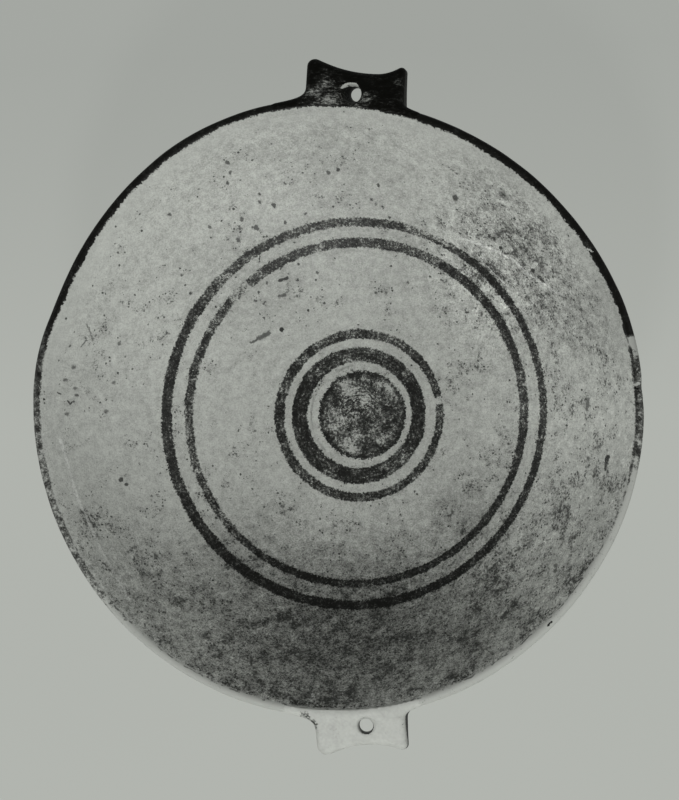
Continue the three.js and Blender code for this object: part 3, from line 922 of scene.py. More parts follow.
# Streaks left by the brush as the bowl turned
def brush_streaks(w, place, radius, way, pitch, seed):
    outwards = w.math("ADD", radius, w.swing(place, 5.0, seed, 0.9))
    return w.swing(unrolled(w, outwards, way, 2.2), pitch, seed, 1.0, 3.0, 0.6)


# How far a place on a lug lies above the ragged lower edge of its paint
def above_edge(w, place, z, height, seed):
    return w.math("SUBTRACT", w.math("ADD", z, w.swing(place, 2.0, seed, 1.6)), height)


# How well a coat of each paint covers the slip
BAND_COVER = 1.7
GLOSSY_COVER = 2.6


# Ends a painted finish. The thinner the coat, the more of the slip shows through.
def end_paint(w, ground, held, edge, paint, cover, gloss=0.15, sheen=(0.50, 0.64)):
    shows = w.math("POWER", math.exp(-cover), w.math("MAXIMUM", w.math("ADD", held, 1.1), 0.0))
    colour = w.tint(shows, paint, ground["Colour"])
    colour = w.tint(edge, ground["Colour"], colour)
    glaze = w.spread(shows, 0.0, 0.5, *sheen)
    end_finish(w, colour, w.mixed(edge, ground["Roughness"], glaze), ground["Height"], gloss)


# A band between two circles that are each a little off the bowl's axis. The wear goes round the
# bowl, and the outer loss is a stretch where the band's outer half is rubbed off.
def band_finish(name, inner, outer, worn, seed, streaks=0.0, outer_loss=()):
    material, w, place, ground = new_finish(name)
    depth, radius, way = band_depth(w, place, inner, outer, seed)
    amount = wear_round(w, way, worn)
    if streaks:
        stroke = brush_streaks(w, place, radius, way, 0.8, seed)
        amount = w.math("ADD", amount, w.product(stroke, streaks, w.step(depth, 0.5, 1.4)))
    if outer_loss:
        outer_half = w.step(radius, outer[0] - 1.9, outer[0] - 1.2)
        amount = w.math("ADD", amount, w.product(wear_round(w, way, outer_loss), outer_half))
    held = coat(w, place, depth, amount, seed)
    end_paint(w, ground, held, brush_edge(w, place, depth, seed), PAINT_DARK, BAND_COVER)
    return material


# Wear round each band, from rows of (degrees, wear)
WEAR_RANGE = 7.0
BROAD_WEAR = (
    (0, 0.35), (30, 0.25), (52, 0.45), (62, 0.70), (80, 0.90), (95, 1.00), (112, 0.90), (122, 0.35),
    (150, 0.00), (178, 0.00), (202, 0.20), (205, 0.65), (208, 0.20), (236, 0.25), (241, 0.70),
    (247, 0.25), (266, 0.35), (270, 0.75), (274, 0.35), (290, 0.55), (301, 1.00), (306, 0.65),
    (316, 1.10), (322, 0.65), (345, 0.35), (360, 0.35),
)
NARROW_WEAR = (
    (0, 0.65), (5, 0.75), (7.2, 1.75), (8.4, 3.10), (10.6, 3.10), (11.8, 1.75), (14, 0.65),
    (25, 0.45), (50, 0.55), (66, 1.10), (76, 0.90), (85, 0.65), (100, 0.55), (113, 1.00),
    (119, 0.90), (126, 0.35), (146, 0.45), (150, 1.00), (153, 0.35), (160, 0.90), (164, 0.20),
    (186, 0.35), (189, 0.90),
    (192, 0.35), (198, 0.35), (200, 1.55), (202, 0.35), (240, 0.65), (262, 0.55), (268, 0.90),
    (274, 0.45), (300, 0.65), (310, 0.90), (320, 0.55), (330, 0.90), (338, 0.55), (360, 0.65),
)
INNER_PAIR_WEAR = (
    (0, 0.90), (10, 0.85), (20, 0.35), (38, 0.20), (55, 0.45), (62, 1.10), (72, 1.00), (80, 0.65),
    (98, 0.65), (103, 1.30), (108, 0.65), (120, 0.75), (129, 1.10), (131.5, 2.00), (136.5, 2.00),
    (138.5, 0.55), (142, 0.55), (146, 1.55), (151, 0.90), (158, 0.55), (165, 0.75), (180, 0.90),
    (200, 1.05), (225, 0.90), (235, 0.35), (262, 0.35), (268, 0.95), (280, 0.85), (286, 0.20),
    (340, 0.20), (352, 0.75), (360, 0.90),
)
OUTER_PAIR_WEAR = (
    (0, 0.55), (10, 0.60), (20, 0.35), (40, 0.25), (54, 0.45), (60, 1.00), (68, 1.00), (76, 0.85),
    (90, 0.85), (105, 1.00), (118, 0.85), (124, 0.55), (132, 1.30), (138, 1.10), (145, 0.25),
    (180, 0.10), (187, 0.10), (190, 0.90), (193, 0.10), (230, 0.28), (265, 0.32), (272, 0.50),
    (280, 0.25), (345, 0.25), (360, 0.55),
)
OUTER_PAIR_LOSS = ((0, 0.0), (58, 0.0), (61, 0.9), (70, 0.9), (74, 0.0), (360, 0.0))


# The brushed edges: a radius, and the place of its circle's middle
DISC_EDGE = (15.0, (0.82, 0.08))
BROAD_EDGES = (17.71, (-0.15, 0.11)), (23.05, (-0.36, -0.17))
NARROW_EDGES = (25.85, (0.13, -0.20)), (29.07, (-0.14, -0.18))
INNER_PAIR_EDGES = (55.45, (-0.05, 0.13)), (58.44, (0.16, 0.42))
OUTER_PAIR_EDGES = (62.23, (0.25, 0.0)), (65.32, (0.01, -0.22))


def broad_finish():
    return band_finish("Broad band paint", *BROAD_EDGES, BROAD_WEAR, 20, 3.2)


def narrow_finish():
    return band_finish("Narrow band paint", *NARROW_EDGES, NARROW_WEAR, 30, 1.0)


def inner_pair_finish():
    return band_finish("Inner pair paint", *INNER_PAIR_EDGES, INNER_PAIR_WEAR, 40)


def outer_pair_finish():
    return band_finish(
        "Outer pair paint", *OUTER_PAIR_EDGES, OUTER_PAIR_WEAR, 50, 0.0, OUTER_PAIR_LOSS
    )


# Places where the disc is rubbed, or where a negative amount keeps it whole
DISC_PATCHES = (
    (-4.8, 9.5, 3.8, 0.8), (-8.2, -2.3, 3.6, 0.6), (-3.4, -10.7, 3.6, 0.8), (2.8, 6.1, 3.2, 0.5),
    (10.2, 9.2, 2.8, 1.4), (13.2, 5.4, 1.6, 1.1), (7.1, -8.6, 2.4, 0.5), (9.8, 2.6, 3.0, -0.7),
    (10.6, -2.3, 3.0, -0.7), (2.2, -2.9, 3.0, -0.6), (-10.2, 7.1, 3.0, -0.7),
    (-1.2, 14.1, 2.6, -0.7), (-11.2, -7.9, 3.0, -0.6), (4.3, -11.9, 3.0, -0.6),
)


# The disc's paint, with fine turned lines scratched into its middle, most at the upper left
def disc_finish():
    seed = 60
    material, w, place, ground = new_finish("Disc paint")
    depth, radius, way = band_depth(w, place, None, DISC_EDGE, seed)
    worn = patches(w, place, DISC_PATCHES)
    upper_left = w.vector("DOT_PRODUCT", way, (math.cos(2.14), math.sin(2.14), 0.0))
    arcs = w.step(upper_left, -0.1, 0.35, 0.4, 2.0)
    fine_lines = w.product(
        brush_streaks(w, place, radius, way, 0.5, seed), w.step(radius, 11.0, 7.0), arcs, 3.6
    )
    wear = w.total(1.16, worn, fine_lines, w.step(depth, 2.4, 0.8, 0.0, -1.0))
    held = coat(w, place, depth, wear, seed, 8.5, 4.0)
    end_paint(w, ground, held, brush_edge(w, place, depth, seed, 2.6), PAINT_DARK, BAND_COVER)
    return material


# Wear round the crown of the rim, which over the near half is a painted highlight of bare slip
# instead, and the further wear of its outer half
RIM_WEAR_AND_HIGHLIGHT = (
    (0, 1.3), (3.5, 1.3), (5.6, 1.2), (9.4, 1.2), (10.9, 1.4), (11.3, 2.7), (11.6, 2.7),
    (12.2, 0.2), (28, 0.1), (30, 0.8), (32, 0.1), (73, 0.1), (76, 0.5), (80, 0.2), (93, 0.2),
    (97, 0.8), (101, 0.4), (128, 0.35), (150, 0.2), (163, 0.4), (168, 1.2), (178, 1.4), (184, 1.7),
    (213, 1.8), (224, 2.4), (232, 3.0), (328, 3.0), (336, 2.3), (344, 1.9), (350, 1.4), (360, 1.3),
)
RIM_OUTER_WEAR = (
    (0, 0.3), (7, 0.3), (9.5, 1.2), (11.4, 1.5), (12.0, 0.0), (332, 0.0), (338, 1.4), (346, 0.9),
    (350, 0.3), (360, 0.3),
)


# The rim's paint: whole over the far half, and taken off the crown of the near half, but for a thin
# broken line along its inner edge, as a painted highlight for the glare of the near soft box on it
def rim_finish():
    seed = 70
    material, w, place, ground = new_finish("Rim paint")
    radius, way = w.polar(place)
    _, _, z = w.parts(place)
    middle = w.spread(z, RIM_HEIGHT - 12.0, RIM_HEIGHT, 91.5, 98.3)
    outside = w.step(w.math("SUBTRACT", radius, middle), -0.3, 0.3)
    wave = w.swing(place, 9.0, seed, 1.6)
    from_inner = w.total(w.math("SUBTRACT", radius, 97.15), wave, w.product(outside, 4.0))
    lowered = w.total(z, wave, w.swing(place, 1.2, seed, 0.8))
    from_lower = w.math("SUBTRACT", lowered, RIM_HEIGHT - BAND_LAP)
    crown = w.step(z, 54.4, 55.8)
    half_off = w.product(outside, wear_round(w, way, RIM_OUTER_WEAR))
    # Over the near half this takes the paint off as a painted highlight
    wear = w.product(w.math("ADD", wear_round(w, way, RIM_WEAR_AND_HIGHLIGHT), half_off), crown)
    depth = w.math("MINIMUM", from_inner, from_lower)
    held = coat(w, place, depth, wear, seed, 4.0, 2.4, -0.7)
    line = w.total(w.math("SUBTRACT", radius, 97.35), w.swing(place, 2.6, seed, 1.6, 3.0))
    line = w.math("ABSOLUTE", line)
    broken = w.step(w.noise(place, 5.0, seed, 3.0, 0.7), 0.44, 0.56)
    line = w.product(w.step(line, 0.42, 0.08, 0.0, 0.65), broken, w.math("SUBTRACT", 1.0, outside))
    held = w.math("MAXIMUM", held, w.math("SUBTRACT", line, 1.3))
    dark_marks, pale_marks = marked(w, place, RIM_MARKS)
    held = w.total(held, w.product(dark_marks, 3.0), w.product(pale_marks, -4.0))
    edge = brush_edge(w, place, depth, seed)
    end_paint(w, ground, held, edge, GLOSSY_DARK, GLOSSY_COVER, 0.10, (0.42, 0.58))
    return material


# Where the far lug is rubbed, and where the near lug's dark paint shows outside its painted
# highlight
FAR_LUG_PATCHES = (
    (-2.4, 102.0, 5.4, 0.85), (-6.0, 99.0, 5.6, 0.65), (3.0, 98.2, 5.6, 0.95),
    (10.0, 98.6, 4.2, 0.85), (-2.0, 106.0, 2.6, 0.85), (21.2, 105.4, 1.4, 1.0),
    (-7.0, 104.0, 3.0, 0.5), (11.0, 101.0, 2.0, 0.5),
)
NEAR_LUG_PATCHES = (
    (-6.6, -102.4, 2.2, 1.3), (-9.2, -100.2, 2.4, 1.1), (23.0, -102.0, 1.6, 0.7),
    (23.6, -105.0, 1.5, 0.6), (22.2, -99.8, 1.4, 0.5),
)


# Dark paint on the far lug, rubbed thin in streaks round its hole. The upper left edge of the hole
# shows clay.
def far_lug_finish():
    seed = 80
    material, w, place, ground = new_finish("Far lug paint")
    _, _, z = w.parts(place)
    hole_x, hole_y, _ = hole_middle(far_lug, RIM_HEIGHT)
    away, toward = w.polar(place, (hole_x, hole_y))
    upper = w.step(w.vector("DOT_PRODUCT", toward, (-0.12, 1.0, 0.0)), 0.42, 0.85)
    mouth = far_lug["mouth"]
    ragged = w.total(away, w.swing(place, 1.3, seed, 1.0, 3.0, 0.7))
    lip = w.math("ADD", ragged, w.product(upper, 0.5))
    outer_side = w.step(ragged, mouth + 0.4, mouth + 0.1)
    chipped = w.product(w.step(lip, mouth - 0.2, mouth + 0.1), outer_side, upper)
    streaked = w.vector("MULTIPLY", place, (0.45, 1.0, 1.0))
    wear = w.total(patches(w, place, FAR_LUG_PATCHES), w.product(chipped, 4.0))
    depth = above_edge(w, place, z, 45.0, seed)
    held = coat(w, streaked, depth, wear, seed, 8.0, 2.6, 0.0)
    edge = brush_edge(w, place, depth, seed)
    end_paint(w, ground, held, edge, GLOSSY_DARK, GLOSSY_COVER, 0.05, (0.50, 0.62))
    return material


# The near lug's top is painted pale over its dark paint, a painted highlight for the glare of the
# near soft box. The dark paint shows underneath, in the lower half of the hole, on the right side
# and in a smudge by the left flare.
def near_lug_finish_with_highlight():
    seed = 90
    material, w, place, ground = new_finish("Near lug paint and painted highlight")
    _, y, z = w.parts(place)
    slope = math.tan(math.radians(sum(near_lug["droop"]) / 2))
    top = w.math("ADD", w.product(w.math("ADD", y, RIM_RADIUS), slope), RIM_HEIGHT - LUG_SINK)
    below = w.math("SUBTRACT", w.math("MINIMUM", top, RIM_HEIGHT), z)
    hole_x, hole_y, _ = hole_middle(near_lug, RIM_HEIGHT - 2.0)
    away, toward = w.polar(place, (-hole_x, -hole_y))
    in_hole = w.step(away, near_lug["mouth"] + 0.20, near_lug["mouth"] - 0.15)
    lower_half = w.step(w.vector("DOT_PRODUCT", toward, (0.0, 1.0, 0.0)), 0.55, 0.10)
    in_hole = w.product(in_hole, lower_half)
    kept = patches(w, place, NEAR_LUG_PATCHES)
    underneath = w.step(below, 1.9, 4.2, 0.0, -1.8)
    wear = w.total(1.9, w.product(kept, -1.0), w.product(in_hole, -2.4), underneath)
    depth = above_edge(w, place, z, 43.0, seed)
    held = coat(w, place, depth, wear, seed, 4.0, 1.4)
    # The pale top is a painted highlight: slip colour painted over the dark paint where the glare
    # falls
    blotches = w.swing(place, 5.0, seed, 0.5, 3.0, 0.6)
    rubbed = w.total(1.0, blotches, w.swing(place, 0.9, seed, 0.3, 1.0))
    pale = w.tint(0.8, ground["Colour"], w.vector("SCALE", SLIP_PAINTED_HIGHLIGHT, scale=rubbed))
    cover = w.product(w.step(held, 0.0, 0.75), brush_edge(w, place, depth, seed))
    paint = w.tint(w.spread(held, 1.2, 0.3, 0.0, 1.0), GLOSSY_DARK, GLOSSY_THIN)
    glaze = w.mixed(cover, ground["Roughness"], 0.5)
    end_finish(w, w.tint(cover, pale, paint), glaze, w.product(ground["Height"], 0.6), 0.12)
    return material


# Bare slip inside and out, with the clay showing underneath
def body_finish():
    material, w, place, ground = new_finish("Bare slip")
    _, _, z = w.parts(place)
    fringe = w.swing(place, 6.0, 61, 3.0, 4.0, 0.6)
    under = w.step(w.math("ADD", z, fringe), 11.2, 10.2)
    clay = w.tint(w.step(w.noise(place, 2.2, 62, 4.0, 0.7), 0.35, 0.7), CLAY_FOOT, CLAY_BARE)
    colour = w.tint(under, ground["Colour"], clay)
    end_finish(w, colour, ground["Roughness"], ground["Height"])
    return material


def foot_finish():
    material, w, place, _ = new_finish("Bare foot")
    _, _, z = w.parts(place)
    blotch = w.noise(place, 5.0, 71, 4.0, 0.62, 0.4)
    grit = w.noise(place, 0.7, 72, 3.0, 0.7)
    colour = w.tint(w.step(blotch, 0.34, 0.68), CLAY_FOOT, CLAY_BARE)
    colour = w.darkened(colour, w.step(z, 1.6, 0.1, 0.0, 0.45))
    colour = w.darkened(colour, w.step(grit, 0.58, 0.72, 0.0, 0.45))
    height = w.total(w.product(w.math("SUBTRACT", grit, 0.5), 0.10), w.product(blotch, 0.12))
    end_finish(w, colour, w.spread(blotch, 0.3, 0.7, 0.68, 0.84), height)
    return material


# Lugs
LUG_ROOT_THICKNESS = 9.0
LUG_TIP_THICKNESS = 6.5
LUG_SINK = 0.8
LUG_ROOT_DEPTH = 12.0  # how far a lug reaches in under the skin of the wall
LUG_ROUNDING = 2.0
LUG_LUMPS = 0.16  # how far the hand-made surface swings in or out
LUG_LUMP_SIZE = 13.0
JOINT_SPREAD = 3.4  # how far the luted clay is smoothed out round a lug's root
HOLE_SPREAD = 0.7
SKIN_DEPTH = 0.16  # how far under the wall's skin a lug's root runs out
MID_WALL_DEPTH = 3.0
MID_RIM_RADIUS = 98.2
FLARE_SINK = 1.0
HORN_CURVE_SHARE = 0.55
far_lug = {
    "title": "Far_lug", "turn": 0.0, "offset": 7.0, "width": 33.0, "horns": (13.9, 11.2),
    "saddle": (7.2, 8.9), "rounds": (2.5, 1.4), "flares": ((9.2, 4.3), (4.0, 1.6)),
    "droop": (14.0, 19.0), "hole": (-1.15, 2.05), "mouth": 3.55, "throat": 2.25,
    "lean": (0.9, 0.7), "seed": 4,
}
near_lug = {
    "title": "Near_lug", "turn": math.pi, "offset": -8.4, "width": 29.4, "horns": (10.1, 12.2),
    "saddle": (-4.5, 8.5), "rounds": (2.0, 2.6), "flares": ((4.0, 2.0), (8.5, 4.8)),
    "droop": (21.0, 28.0), "hole": (-2.1, 2.75), "mouth": 2.5, "throat": 2.3,
    "lean": (1.2, -0.5), "seed": 9,
}


def lug_top(lug, distance):
    first, last = (math.tan(math.radians(a)) for a in lug["droop"])
    reach = max(lug["horns"])
    past = np.maximum(distance, 0.0)
    return RIM_HEIGHT - LUG_SINK - past * (first + (last - first) * past / (2 * reach))


def lug_thickness(lug, distance):
    share = np.maximum(distance, 0.0) / max(lug["horns"])
    return LUG_ROOT_THICKNESS + (LUG_TIP_THICKNESS - LUG_ROOT_THICKNESS) * share


# Middle of the string-hole at a height, as if the lug stood at the far side
def hole_middle(lug, height):
    place, distance = lug["hole"]
    mouth = float(lug_top(lug, distance))
    thickness = float(lug_thickness(lug, distance))
    share = np.clip((mouth - height) / thickness, -0.5, 1.4)
    return (
        lug["offset"] + place + lug["lean"][0] * share,
        RIM_RADIUS + distance + lug["lean"][1] * share,
        share,
    )


# The string-hole narrows from its mouth to its throat, and its upper edge is rounded
def hole_radius(lug, share):
    narrowing = np.clip(1.0 - np.maximum(share, 0.0) / 0.75, 0.0, 1.0)
    funnel = lug["throat"] + (lug["mouth"] - lug["throat"]) * narrowing**1.3
    return funnel + 0.55 * np.clip(0.14 - share, 0.0, 0.5) * 4


# A lug's outline from above, about its own middle, counter-clockwise from its right flare
def lug_outline(lug):
    half = lug["width"] / 2
    root = RIM_RADIUS - LUG_ROOT_DEPTH
    (left_width, left_height), (right_width, right_height) = lug["flares"]

    def rim_at(x):
        return math.sqrt(RIM_RADIUS**2 - (x + lug["offset"]) ** 2)

    left_end = -half - left_width
    right_end = half + right_width
    saddle = np.array([lug["saddle"][0], RIM_RADIUS + lug["saddle"][1]])
    left_round, right_round = lug["rounds"]
    left_horn = np.array([left_round - half, RIM_RADIUS + lug["horns"][0] - left_round])
    right_horn = np.array([half - right_round, RIM_RADIUS + lug["horns"][1] - right_round])

    def bend_by(horn):
        return np.array([horn[0] + (saddle[0] - horn[0]) * HORN_CURVE_SHARE, saddle[1]])

    def leaving(middle, radius, point, side):
        run = point - middle
        return (math.atan2(run[1], run[0]) + side * math.acos(radius / np.hypot(*run))) % math.tau

    left_bend = bend_by(left_horn)
    right_bend = bend_by(right_horn)
    left_leave = leaving(left_horn, left_round, left_bend, 1)
    right_leave = leaving(right_horn, right_round, right_bend, -1)
    right_arc = arc(right_horn, right_round, 0.0, right_leave)
    left_arc = arc(left_horn, left_round, left_leave, math.pi)
    return np.concatenate(
        [
            [(right_end, root), (right_end, rim_at(right_end) - FLARE_SINK)],
            bent(
                (right_end, rim_at(right_end) - FLARE_SINK),
                (half, rim_at(half)),
                (half, rim_at(half) + right_height),
            ),
            right_arc,
            bent(right_arc[-1], right_bend, saddle),
            bent(saddle, left_bend, left_arc[0]),
            left_arc,
            bent(
                (-half, rim_at(-half) + left_height),
                (-half, rim_at(-half)),
                (left_end, rim_at(left_end) - FLARE_SINK),
            ),
            [(left_end, root)],
        ]
    )


# Signed distance to a closed polygon, negative inside
def polygon_distance(points, polygon):
    best = np.full(len(points), np.inf)
    inside = np.zeros(len(points), bool)
    for a, b in zip(polygon, np.roll(polygon, -1, axis=0)):
        run = b - a
        if not run.any():
            continue
        share = np.clip(((points - a) @ run) / (run @ run), 0, 1)[:, None]
        best = np.minimum(best, np.hypot(*(points - a - share * run).T))
        if a[1] != b[1]:
            crosses = (a[1] > points[:, 1]) != (b[1] > points[:, 1])
            at = a[0] + (points[:, 1] - a[1]) * run[0] / run[1]
            inside ^= crosses & (points[:, 0] < at)
    return np.where(inside, -best, best)


# Distance to the wall's surface at (radius, height), negative in the clay
def wall_distance(points):
    upper = OUTLINE[:, 0] > 70
    near = OUTLINE[upper][::3]
    ways = OUTLINE_FACING[upper][::3]
    result = np.empty(len(points))
    batch = 4000
    for k in range(0, len(points), batch):
        part = points[k : k + batch]
        offset = part[:, None] - near[None]
        squared = (offset**2).sum(-1)
        nearest = squared.argmin(1)
        rows = np.arange(len(part))
        side = (offset[rows, nearest] * ways[nearest]).sum(-1)
        result[k : k + batch] = np.sqrt(squared[rows, nearest]) * np.sign(side)
    return result


# Values of a table of even steps at places between them
def table_value(table, start, step, points):
    where = (points - start) / step
    where = np.clip(where, 0, np.array(table.shape) - 1.001)
    low = where.astype(int)
    share = where - low
    i, j = low.T
    s, t = share.T
    return (
        table[i, j] * (1 - s) * (1 - t) + table[i + 1, j] * s * (1 - t)
        + table[i, j + 1] * (1 - s) * t + table[i + 1, j + 1] * s * t
    )


def soft_union(a, b, reach):
    share = np.clip(0.5 + 0.5 * (b - a) / reach, 0, 1)
    return b + (a - b) * share - reach * share * (1 - share)


# Smooth random values over space, for hand-made unevenness
def soft_noise(points, size, seed):
    rng = np.random.default_rng(seed)
    result = np.zeros(len(points))
    for _ in range(12):
        way = rng.normal(size=3)
        way /= np.linalg.norm(way)
        length = size * rng.uniform(0.7, 1.6)
        result += np.sin(points @ way * math.tau / length + rng.uniform(0, 7))
    return result / 6


# Grids on which a lug's outline, the wall and a lug's clay are worked out
OUTLINE_TABLE_STEP = 0.3
OUTLINE_TABLE_START = np.array([-36.0, 82.0])
OUTLINE_TABLE_END = np.array([36.1, 122.0])
WALL_TABLE_STEP = 0.2
WALL_TABLE_START = np.array([82.0, 34.0])
WALL_TABLE_END = np.array([122.0, 64.0])
LUG_GRID_STEP = 0.4
LUG_GRID_ROOM = 4.0  # beyond the flares on either side
LUG_GRID_FROM = (84.5, 38.0)
LUG_GRID_TO = (116.0, 60.5)


def flat_grid(start, end, step):
    axes = (np.arange(a, b, step) for a, b in zip(start, end))
    return np.stack(np.meshgrid(*axes, indexing="ij"), -1)


# The lug as a field over space, negative in the clay. It runs out under the skin of the wall.
def lug_field(lug, points):
    from_above = points[:, :2] - [lug["offset"], 0.0]
    outline_away = table_value(lug["table"], OUTLINE_TABLE_START, OUTLINE_TABLE_STEP, from_above)
    distance = points[:, 1] - RIM_RADIUS
    top = lug_top(lug, distance)
    thickness = lug_thickness(lug, distance)
    lumps = LUG_LUMPS * soft_noise(points, LUG_LUMP_SIZE, lug["seed"])
    across = outline_away + LUG_ROUNDING + lumps
    level = np.abs(points[:, 2] - (top - thickness / 2)) - thickness / 2 + LUG_ROUNDING
    level -= 0.8 * lumps
    slab = np.hypot(np.maximum(across, 0), np.maximum(level, 0))
    slab += np.minimum(np.maximum(across, level), 0)
    slab -= LUG_ROUNDING
    radius = np.hypot(points[:, 0], points[:, 1])
    beside = np.stack([radius, points[:, 2]], -1)
    wall = table_value(WALL_TABLE, WALL_TABLE_START, WALL_TABLE_STEP, beside)
    clay = soft_union(slab, wall + SKIN_DEPTH, JOINT_SPREAD)
    x, y, share = hole_middle(lug, points[:, 2])
    hole = np.hypot(points[:, 0] - x, points[:, 1] - y) - hole_radius(lug, share)
    clay = -soft_union(-clay, hole * 0.9, HOLE_SPREAD)

    # Inside the wall it ends halfway through the thickness
    share = np.clip((points[:, 2] - FLOOR_HEIGHT) / WALL_RISE, 0.0, 1.0)
    inside = BEVEL_FOOT_RADIUS * share ** (1 / WALL_CURVE_POWER)
    return np.maximum(clay, np.minimum(inside + MID_WALL_DEPTH, MID_RIM_RADIUS) - radius)


def table_over(distance, start, end, step):
    grid = flat_grid(start, end, step)
    return distance(grid.reshape(-1, 2)).reshape(grid.shape[:2])


WALL_TABLE = table_over(wall_distance, WALL_TABLE_START, WALL_TABLE_END, WALL_TABLE_STEP)


# A closed mesh round the negative part of a field on an even grid: one point in each cell that the
# surface crosses, one face across each grid edge that it crosses
def netted(field, start, step):
    inside = field < 0
    shape = np.array(field.shape)
    sums = np.zeros((*(shape - 1), 3))
    counts = np.zeros(shape - 1)
    cells = np.stack(np.meshgrid(*(np.arange(n - 1) for n in shape), indexing="ij"), -1)
    for axis in range(3):
        others = [k for k in range(3) if k != axis]
        for a in (0, 1):
            for b in (0, 1):
                low = [slice(0, n - 1) for n in shape]
                low[others[0]] = slice(a, shape[others[0]] - 1 + a)
                low[others[1]] = slice(b, shape[others[1]] - 1 + b)
                high = list(low)
                high[axis] = slice(1, shape[axis])
                f0, f1 = field[tuple(low)], field[tuple(high)]
                crosses = (f0 < 0) != (f1 < 0)
                share = np.where(crosses, f0 / np.where(crosses, f0 - f1, 1.0), 0.0)
                point = cells.astype(float)
                point[..., others[0]] += a
                point[..., others[1]] += b
                point[..., axis] += share
                sums += np.where(crosses[..., None], point, 0.0)
                counts += crosses
    used = counts > 0
    number = np.full(used.shape, -1)
    number[used] = np.arange(used.sum())
    vertices = sums[used] / counts[used][:, None] * step + start
    faces = []
    for axis in range(3):
        u, v = (axis + 1) % 3, (axis + 2) % 3
        low = [slice(1, n - 1) for n in shape]
        low[axis] = slice(0, shape[axis] - 1)
        high = list(low)
        high[axis] = slice(1, shape[axis])
        first, second = inside[tuple(low)], inside[tuple(high)]
        where = np.argwhere(first != second)
        outward = first[tuple(where.T)]
        for k in (u, v):
            where[:, k] += 1
        ring = []
        for du, dv in ((-1, -1), (0, -1), (0, 0), (-1, 0)):
            cell = where.copy()
            cell[:, u] += du
            cell[:, v] += dv
            ring.append(number[tuple(cell.T)])
        ring = np.stack(ring, -1)
        ring[~outward] = ring[~outward][:, ::-1]
        faces.append(ring)
    return vertices, np.concatenate(faces)


def lug_piece(lug, finish):
    outline = lug_outline(lug)
    lug["table"] = table_over(
        lambda points: polygon_distance(points, outline),
        OUTLINE_TABLE_START,
        OUTLINE_TABLE_END,
        OUTLINE_TABLE_STEP,
    )
    half = lug["width"] / 2
    (left_width, _), (right_width, _) = lug["flares"]
    left = lug["offset"] - half - left_width - LUG_GRID_ROOM
    right = lug["offset"] + half + right_width + LUG_GRID_ROOM
    start = np.array([left, *LUG_GRID_FROM])
    end = np.array([right, *LUG_GRID_TO])
    grid = flat_grid(start, end, LUG_GRID_STEP)
    field = lug_field(lug, grid.reshape(-1, 3)).reshape(grid.shape[:3])
    for axis in range(3):
        for side in (0, -1):
            edge = [slice(None)] * 3
            edge[axis] = side
            field[tuple(edge)] = np.maximum(field[tuple(edge)], 0.05)
    vertices, faces = netted(field, start, LUG_GRID_STEP)

    # The points are drawn onto the surface itself
    inner = ((vertices > start + 0.6) & (vertices < end - 1.0)).all(1)
    for _ in range(3):
        value = lug_field(lug, vertices)
        ways = np.eye(3) * 0.05
        rises = [lug_field(lug, vertices + d) - lug_field(lug, vertices - d) for d in ways]
        slope = np.stack(rises, -1) / 0.1
        move = -value[:, None] * slope / np.maximum((slope**2).sum(-1), 0.25)[:, None]
        vertices += np.where(inner[:, None], np.clip(move, -0.2, 0.2), 0.0)
    vertices[:, :2] *= math.cos(lug["turn"])
    mesh = bpy.data.meshes.new(lug["title"])
    mesh.from_pydata((vertices * METRE).tolist(), [], faces.tolist())
    mesh.materials.append(finish)
    mesh.shade_smooth()
    return placed(lug["title"], mesh)


# What a string-hole takes from the body and from the rim's film
HOLE_CLEARANCE = 0.12
HOLE_FROM = RIM_HEIGHT + 3.0
HOLE_TO = 44.0
HOLE_LEVELS = 40
HOLE_SIDES = 56


def hole_cutter(lug):
    count = HOLE_SIDES
    heights = np.linspace(HOLE_FROM, HOLE_TO, HOLE_LEVELS)
    angles = np.linspace(0, math.tau, count, endpoint=False)
    vertices = []
    for height in heights:
        x, y, share = hole_middle(lug, height)
        radius = hole_radius(lug, share) + HOLE_CLEARANCE
        ring = np.stack([x + radius * np.cos(angles), y + radius * np.sin(angles)], -1)
        ring *= math.cos(lug["turn"])
        vertices += [(px, py, height) for px, py in ring]
    faces = [list(range(count)), list(range(len(vertices) - 1, len(vertices) - count - 1, -1))]
    for level in range(len(heights) - 1):
        for k in range(count):
            a = level * count + k
            b = level * count + (k + 1) % count
            faces.append([b, a, a + count, b + count])
    mesh = bpy.data.meshes.new("Hole")
    mesh.from_pydata((np.array(vertices) * METRE).tolist(), [], faces)
    return placed("Hole", mesh)


def pierced(piece):
    name = piece.name
    cutters = [hole_cutter(lug) for lug in (far_lug, near_lug)]
    for cutter in cutters:
        modifier = piece.modifiers.new("Pierced", "BOOLEAN")
        modifier.operation = "DIFFERENCE"
        modifier.solver = "MANIFOLD"
        modifier.object = cutter
    result = taken_off(piece, name)
    for cutter in cutters:
        bpy.data.objects.remove(cutter)
    result.name = name
    return result


SHARP_DEGREES = 46


def rest_on_root(piece, node):
    pressed(piece).data.set_sharp_from_angle(angle=math.radians(SHARP_DEGREES))
    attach(piece, "root")
    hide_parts(node)


